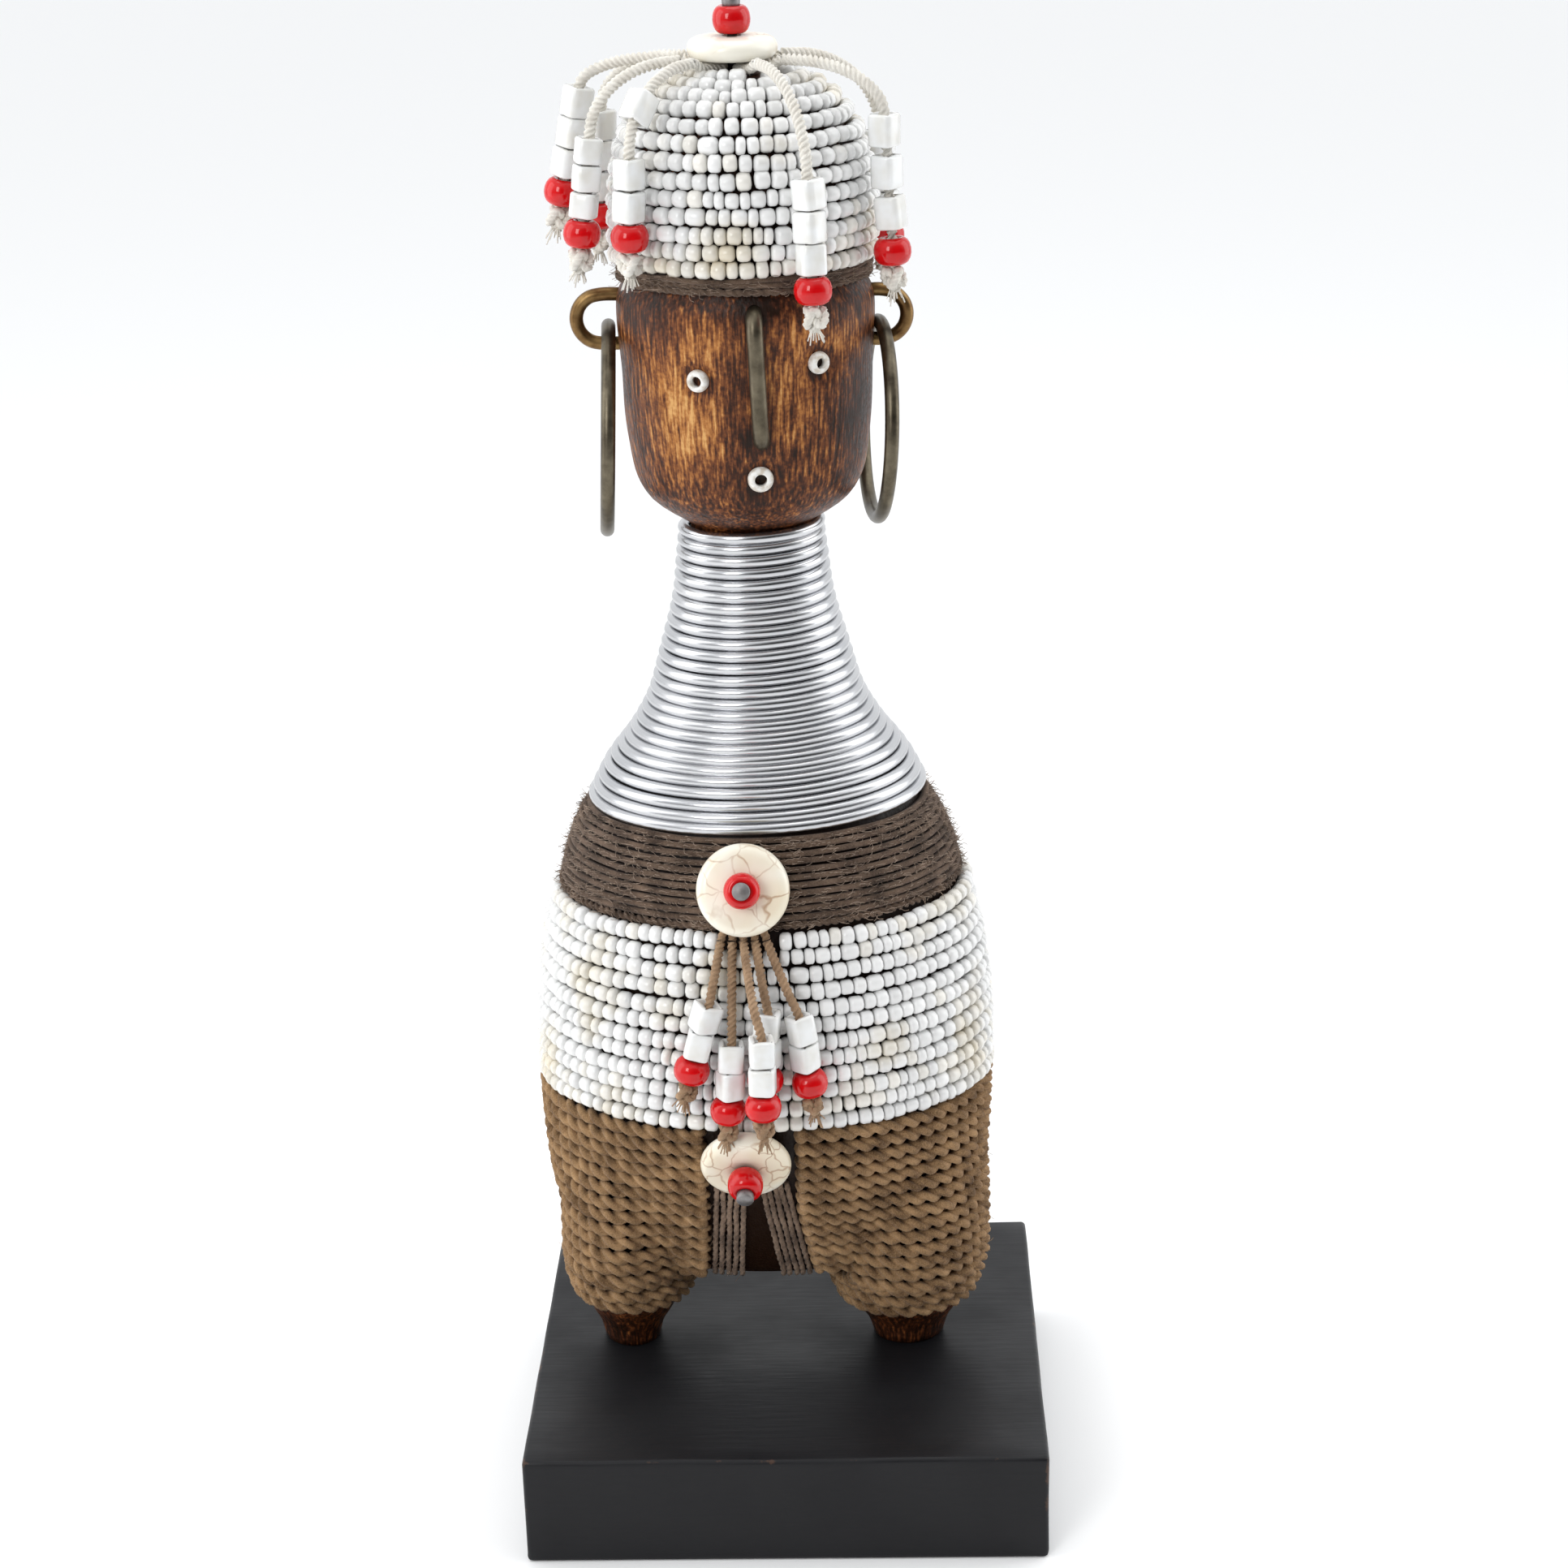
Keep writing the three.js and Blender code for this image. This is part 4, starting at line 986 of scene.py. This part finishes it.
def winding(low, high, thickness, turns, steps, lean=0.0, uneven=0.0, seed=0, upright=None):
    """One strand wound round the carving between two heights, leaning up towards the doll's +X side. Above the
    height upright it no longer follows the outline but goes straight up."""
    first, last = distance_to(low + thickness * 0.45), distance_to(min(high, upright or high) - thickness * 0.45)
    straight = last if upright else reach_up[-1]
    last += high - upright if upright else 0
    line = []
    for i in range(round(turns * steps) + 1):
        bearing = math.pi + 2 * math.pi * i / steps
        stray = noise.noise_vector(Vector((math.cos(bearing), math.sin(bearing), i / steps * 2.3)) * 2.5 + Vector((0, 0, seed)))
        distance = first + (last - first) * i / (turns * steps)
        lift = lean * math.sin(bearing) * (1 - i / turns / steps) + uneven * stray.x
        above = max(0, distance - straight)
        line.append(on_skin(distance - above, bearing, GAP + thickness / 2 + uneven * abs(stray.y), lift + above))
    return line


coil = winding(115.9, 172.2, 2.25, 26, 72, lean=0.5, uneven=0.05, upright=171)
coil = strands([coil], strand_section(1.12 * MM, sides=12))
dressed("neck_coil", coil, aluminium, "doll", ["neck_wire"])

# ---- Shoulder and brow yarn ----
# Dark, hairy hand-spun yarn is wound round the shoulders in about 15 turns, and two or three looser turns
# cover the edge of the cap above the face.
shoulder_wool = spun_yarn("shoulder_wool", (0.022, 0.013, 0.009), (0.2, 0.135, 0.095), 3800)
# The loose fibres get a lighter colour than their yarn: a painted highlight where they catch the light.
lit_wool_fibre = spun_yarn("lit_wool_fibre", (0.1, 0.065, 0.045), (0.5, 0.38, 0.29), 3800)


def hairs(lines, count, length, seed, radius=0.045):
    """Loose fibres that stand off a yarn at random."""
    chance = random.Random(seed)
    out = []
    for _ in range(count):
        line = chance.choice(lines)
        at = chance.randrange(2, len(line) - 2)
        along = (line[at + 1] - line[at]).normalized()
        away = Vector((line[at].x - STAND.x, line[at].y - STAND.y, 0)).normalized()
        stray = Vector((chance.uniform(-1, 1), chance.uniform(-1, 1), chance.uniform(-1, 1)))
        tip = (along * chance.choice((-1, 1)) + away * chance.uniform(0.25, 0.7) + stray * 0.5).normalized()
        reach = length * chance.uniform(0.5, 1.3) * MM
        root = line[at] + away * 0.45 * MM
        out.append(through([root, root + tip * reach * 0.5 + stray * 0.18 * reach, root + tip * reach], 3))
    return strands(out, strand_section(radius * MM, sides=3))


wool = [winding(99.4, 117.1, 1.4, 12, 480, lean=0.3, uneven=0.2, seed=5)]
mesh = strands(wool, strand_section(0.88 * MM, 2, 0.45, 8), twist=330)
dressed("shoulder_wool", mesh, shoulder_wool, "doll", ["shoulder_yarn"])
dressed("shoulder_wool_fibres", hairs(wool, 5200, 2.0, 11, 0.06), lit_wool_fibre, "doll", [])

brow = [winding(215.9, 220.4, 1.5, 3, 480, lean=-0.2, uneven=0.4, seed=17)]
mesh = strands(brow, strand_section(0.78 * MM, 2, 0.4, 8), twist=300)
dressed("brow_wool", mesh, shoulder_wool, "doll", ["brow_yarn"])
dressed("brow_wool_fibres", hairs(brow, 420, 2.4, 12), lit_wool_fibre, "doll", [])

# ---- Leg rope ----
# Two-ply brown rope is wound round each foot's ankle and on up the leg. Above the crotch it runs from one
# side of the middle strip, round the hip and back to the strip behind, where its ends are glued down.
rope_fibre = spun_yarn("leg_rope", (0.05, 0.022, 0.008), (0.5, 0.31, 0.155), 3600)
from mathutils.bvhtree import BVHTree

trunk = BVHTree.FromObject(carving, bpy.context.evaluated_depsgraph_get())
ROPE = 3.1


def laid(line, lines_out, tuck):
    """Smooths a rope's line, tucks its ends in, and keeps it."""
    for _ in range(4):
        line = [line[0], *((a + 2 * b + c) / 4 for a, b, c in zip(line, line[1:], line[2:])), line[-1]]
    if tuck:
        inwards = [Vector((0, -math.copysign(1, p.y - STAND.y), 0)) * 1.8 * MM for p in (line[0], line[-1])]
        line = [line[0] + inwards[0], *line, line[-1] + inwards[1]]
    lines_out.append(through(line, 3))


def hit(centre, direction, grow):
    """Where a winding lies on the carving, seen from outside along a level line, or nothing below the crotch."""
    place, normal, _, _ = trunk.ray_cast(centre + direction * 0.075, -direction, 0.09)
    return place and place + Vector((normal.x, normal.y, 0)).normalized() * grow * MM


for name, (foot, lean, _, stout, low) in LEGS.items():
    side = -1 if name == "left" else 1
    rows = round((60 - low) / 3.06)
    pitch = (60 - low) / rows
    lines = []
    ankle = []
    for i in range(3 * 40 + 1):
        a = side * 2 * math.pi * i / 40 + math.pi / 2
        height = low + 1.5 + pitch * i / 40
        centre = STAND + vec(foot + height * math.tan(math.radians(lean)), 0, height)
        direction = Vector((math.cos(a), math.sin(a), 0))
        place, normal, _, _ = trunk.ray_cast(centre + direction * 0.0215, -direction, 0.03)
        ankle.append(place + Vector((normal.x, normal.y, 0)).normalized() * (GAP + ROPE / 2) * MM)
    laid(ankle, lines, False)
    for row in range(3, rows):
        height = low + pitch * (row + 0.5)
        narrow, wide = (8.6, 9.8) if side < 0 else (9.4, 13)
        strip = wide + (narrow - wide) * min(1, max(0, (height - 16) / 24))
        arc = []
        for i in range(61):
            a = math.radians(-90 + 3 * i)
            slope = 0.35 * math.sin(a * 2) + 0.3 * noise.noise(Vector((i * 0.09, row * 2.1, side * 9)))
            centre = STAND + vec(FRONT + side * (strip + 0.4), 0, height + slope)
            arc.append(hit(centre, Vector((side * math.cos(a), math.sin(a), 0)), GAP + ROPE / 2))
        laid([place for place in arc if place], lines, True)
    mesh = strands(lines, strand_section(1.62 * MM, 2, 0.62, 16), twist=150)
    dressed(f"leg_rope_{name}", mesh, rope_fibre, "doll", [f"rope_winding_{name}"])
    dressed(f"leg_rope_{name}_fibres", hairs(lines, 420, 2.0, 21 + side), rope_fibre, "doll", [])

# ---- Crotch wool ----
# Two flat bundles of grey-brown wool run down from under the belly disc, under the crotch and up behind.
crotch_wool = spun_yarn("crotch_wool", (0.06, 0.036, 0.024), (0.34, 0.235, 0.165), 3600)
BUNDLES = {"left": (-0.4, -2, -6.8, -2.5), "right": (1, 4.8, 7, 5.3)}  # inner and outer edge, and how far each leans
for side, (name, (inner, inner_lean, outer, outer_lean)) in enumerate(BUNDLES.items()):
    lines = []
    for k in range(5):
        share = (k + 0.5) / 5
        line = []
        for face in (-1, 1):
            run = []
            for step in range(12):
                height = 47 - (47 - 21.2) * step / 11
                t = (50 - height) / 36
                x = FRONT + (inner + inner_lean * t) * (1 - share) + (outer + outer_lean * t) * share
                x += 0.3 * noise.noise(Vector((step * 0.4, k * 5, face * 3)))
                place, _, _, _ = trunk.ray_cast(STAND + vec(x, face * 70, height), Vector((0, -face, 0)), 0.09)
                run.append(place + vec(0, face * 0.75, 0))
            run.append(Vector((run[-1].x, run[-1].y - face * 2.2 * MM, STAND.z + 19.2 * MM)))
            line += run if face < 0 else run[::-1]
        lines.append(through(line, 3))
    mesh = strands(lines, strand_section(0.62 * MM, 2, 0.35, 9), twist=240)
    dressed(f"crotch_wool_{name}", mesh, crotch_wool, "doll", [f"crotch_yarn_{name}"])
    dressed(f"crotch_wool_{name}_fibres", hairs(lines, 160, 1.8, 31 + side), crotch_wool, "doll", [])

# ---- Pinned discs ----
# A disc of cream stone with fine brown veins, and a red glass bead on it, are pinned by one steel nail at
# the crown, on the chest and low on the belly. The tassels' cords cross under the first two.
stone, nodes, links, shader = made_of("veined_stone", (0.8, 0.74, 0.6), 0.3, Coat_Weight=0.25, Coat_Roughness=0.15)
where = nodes.new("ShaderNodeTexCoord")
warp = nodes.new("ShaderNodeTexNoise")
warp.inputs["Scale"].default_value = 240
bent = nodes.new("ShaderNodeMix")
bent.data_type = "VECTOR"
bent.inputs[0].default_value = 0.0035
links.new(where.outputs["Object"], warp.inputs["Vector"])
links.new(where.outputs["Object"], bent.inputs[4])
links.new(warp.outputs["Color"], bent.inputs[5])
veins = nodes.new("ShaderNodeTexVoronoi")
veins.feature = "DISTANCE_TO_EDGE"
veins.inputs["Scale"].default_value = 210
links.new(bent.outputs[1], veins.inputs["Vector"])
cloud = nodes.new("ShaderNodeTexNoise")
cloud.inputs["Scale"].default_value = 110
links.new(where.outputs["Object"], cloud.inputs["Vector"])
line = nodes.new("ShaderNodeMapRange")
line.inputs["From Min"].default_value, line.inputs["From Max"].default_value = 0.006, 0.045
line.inputs["To Min"].default_value, line.inputs["To Max"].default_value = 1, 0
links.new(veins.outputs["Distance"], line.inputs["Value"])
faint = nodes.new("ShaderNodeMapRange")
faint.inputs["From Min"].default_value, faint.inputs["From Max"].default_value = 0.38, 0.62
faint.inputs["To Max"].default_value = 0.75
links.new(cloud.outputs["Fac"], faint.inputs["Value"])
base = nodes.new("ShaderNodeValToRGB")
base.color_ramp.elements[0].position, base.color_ramp.elements[1].position = 0.35, 0.65
base.color_ramp.elements[0].color = (0.86, 0.83, 0.73, 1)
base.color_ramp.elements[1].color = (0.78, 0.7, 0.54, 1)
links.new(cloud.outputs["Fac"], base.inputs["Fac"])
veined = nodes.new("ShaderNodeMix")
veined.data_type = "RGBA"
veined.inputs[7].default_value = (0.42, 0.25, 0.14, 1)
links.new(arithmetic(nodes, links, "MULTIPLY", line.outputs["Result"], faint.outputs["Result"]), veined.inputs[0])
links.new(base.outputs["Color"], veined.inputs[6])
links.new(veined.outputs[2], shader.inputs["Base Color"])

PINNED = {
    "crown": (8.1, 4.2, aimed(STAND + vec(-1.1, 0, 254.9), Vector((0, 0, 1)))),
    "chest": (8.6, 4, aimed(STAND + vec(-2.2, -31.2, 108.9), Vector((0, -math.cos(0.35), math.sin(0.35))))),
    "belly": (8.6, 4, aimed(STAND + vec(-3.2, -30.7, 54.5), Vector((0, -math.cos(0.44), -math.sin(0.44))))),
}
for name, (radius, thick, place) in PINNED.items():
    disc = bmesh.new()
    rim = [
        (radius - 1.9 + 1.9 * math.cos(a), thick / 2 + (thick / 2 - 0.15) * math.sin(a))
        for a in (math.pi * (i / 10 - 0.5) for i in range(11))
    ]
    face = [(radius * 0.5, thick), (1.9, thick), (1.35, thick - 0.5)]
    turned(disc, [(1.2, 0.3), (1.7, 0), (radius * 0.5, 0), *rim, *face], 72, place)
    finished(f"{name}_stone", disc, stone, "doll", [f"{name}_disc"])
    bead = bmesh.new()
    turned(bead, bead_profile(3.4, 5, 1.5, 12), 36, place @ Matrix.Translation((0, 0, (thick + 0.3) * MM)))
    finished(f"{name}_red_glass", bead, red_glass, "doll", [f"{name}_red_bead"])
    nail = bmesh.new()
    end = thick + 5.6
    turned(nail, [
        (0, -13), (0.9, -13), (0.9, end - 1.4), (1.45, end - 1.2), (1.62, end), (1.66, end + 0.9), (1.5, end + 1.15), (0, end + 1.2),
    ], 28, place)
    finished(f"{name}_pin", nail, dull_steel, "doll", [f"{name}_nail"])

crossing = []
for bearing, *_ in CROWN_TASSELS:
    a = math.radians(bearing)
    points = [vec(-1.1 + r * math.sin(a), -r * math.cos(a), h) for r, h in ((9.3, 255.1), (7.5, 254.1), (5, 253.8), (1.9, 253.6))]
    crossing.append([p + STAND for p in through(points, 6)])
mesh = strands(crossing, strand_section(1.0 * MM, 3, 0.34, 12), twist=330)
dressed("crown_cord_knots", mesh, white_cotton, "doll", ["crown_cord_crossing"])
crossing = []
for leave, *_ in BELLY_TASSELS:
    points = [vec(-2.7 + leave, -32.1, 99.3), vec(-2.7 + leave * 0.85, -31.6, 101), vec(-2.7 + leave * 0.5, -30.9, 104.6)]
    crossing.append([p + STAND for p in through(points, 6)])
mesh = strands(crossing, strand_section(0.85 * MM, 3, 0.34, 12), twist=330)
dressed("chest_cord_knots", mesh, brown_cotton, "doll", ["chest_cord_crossing"])
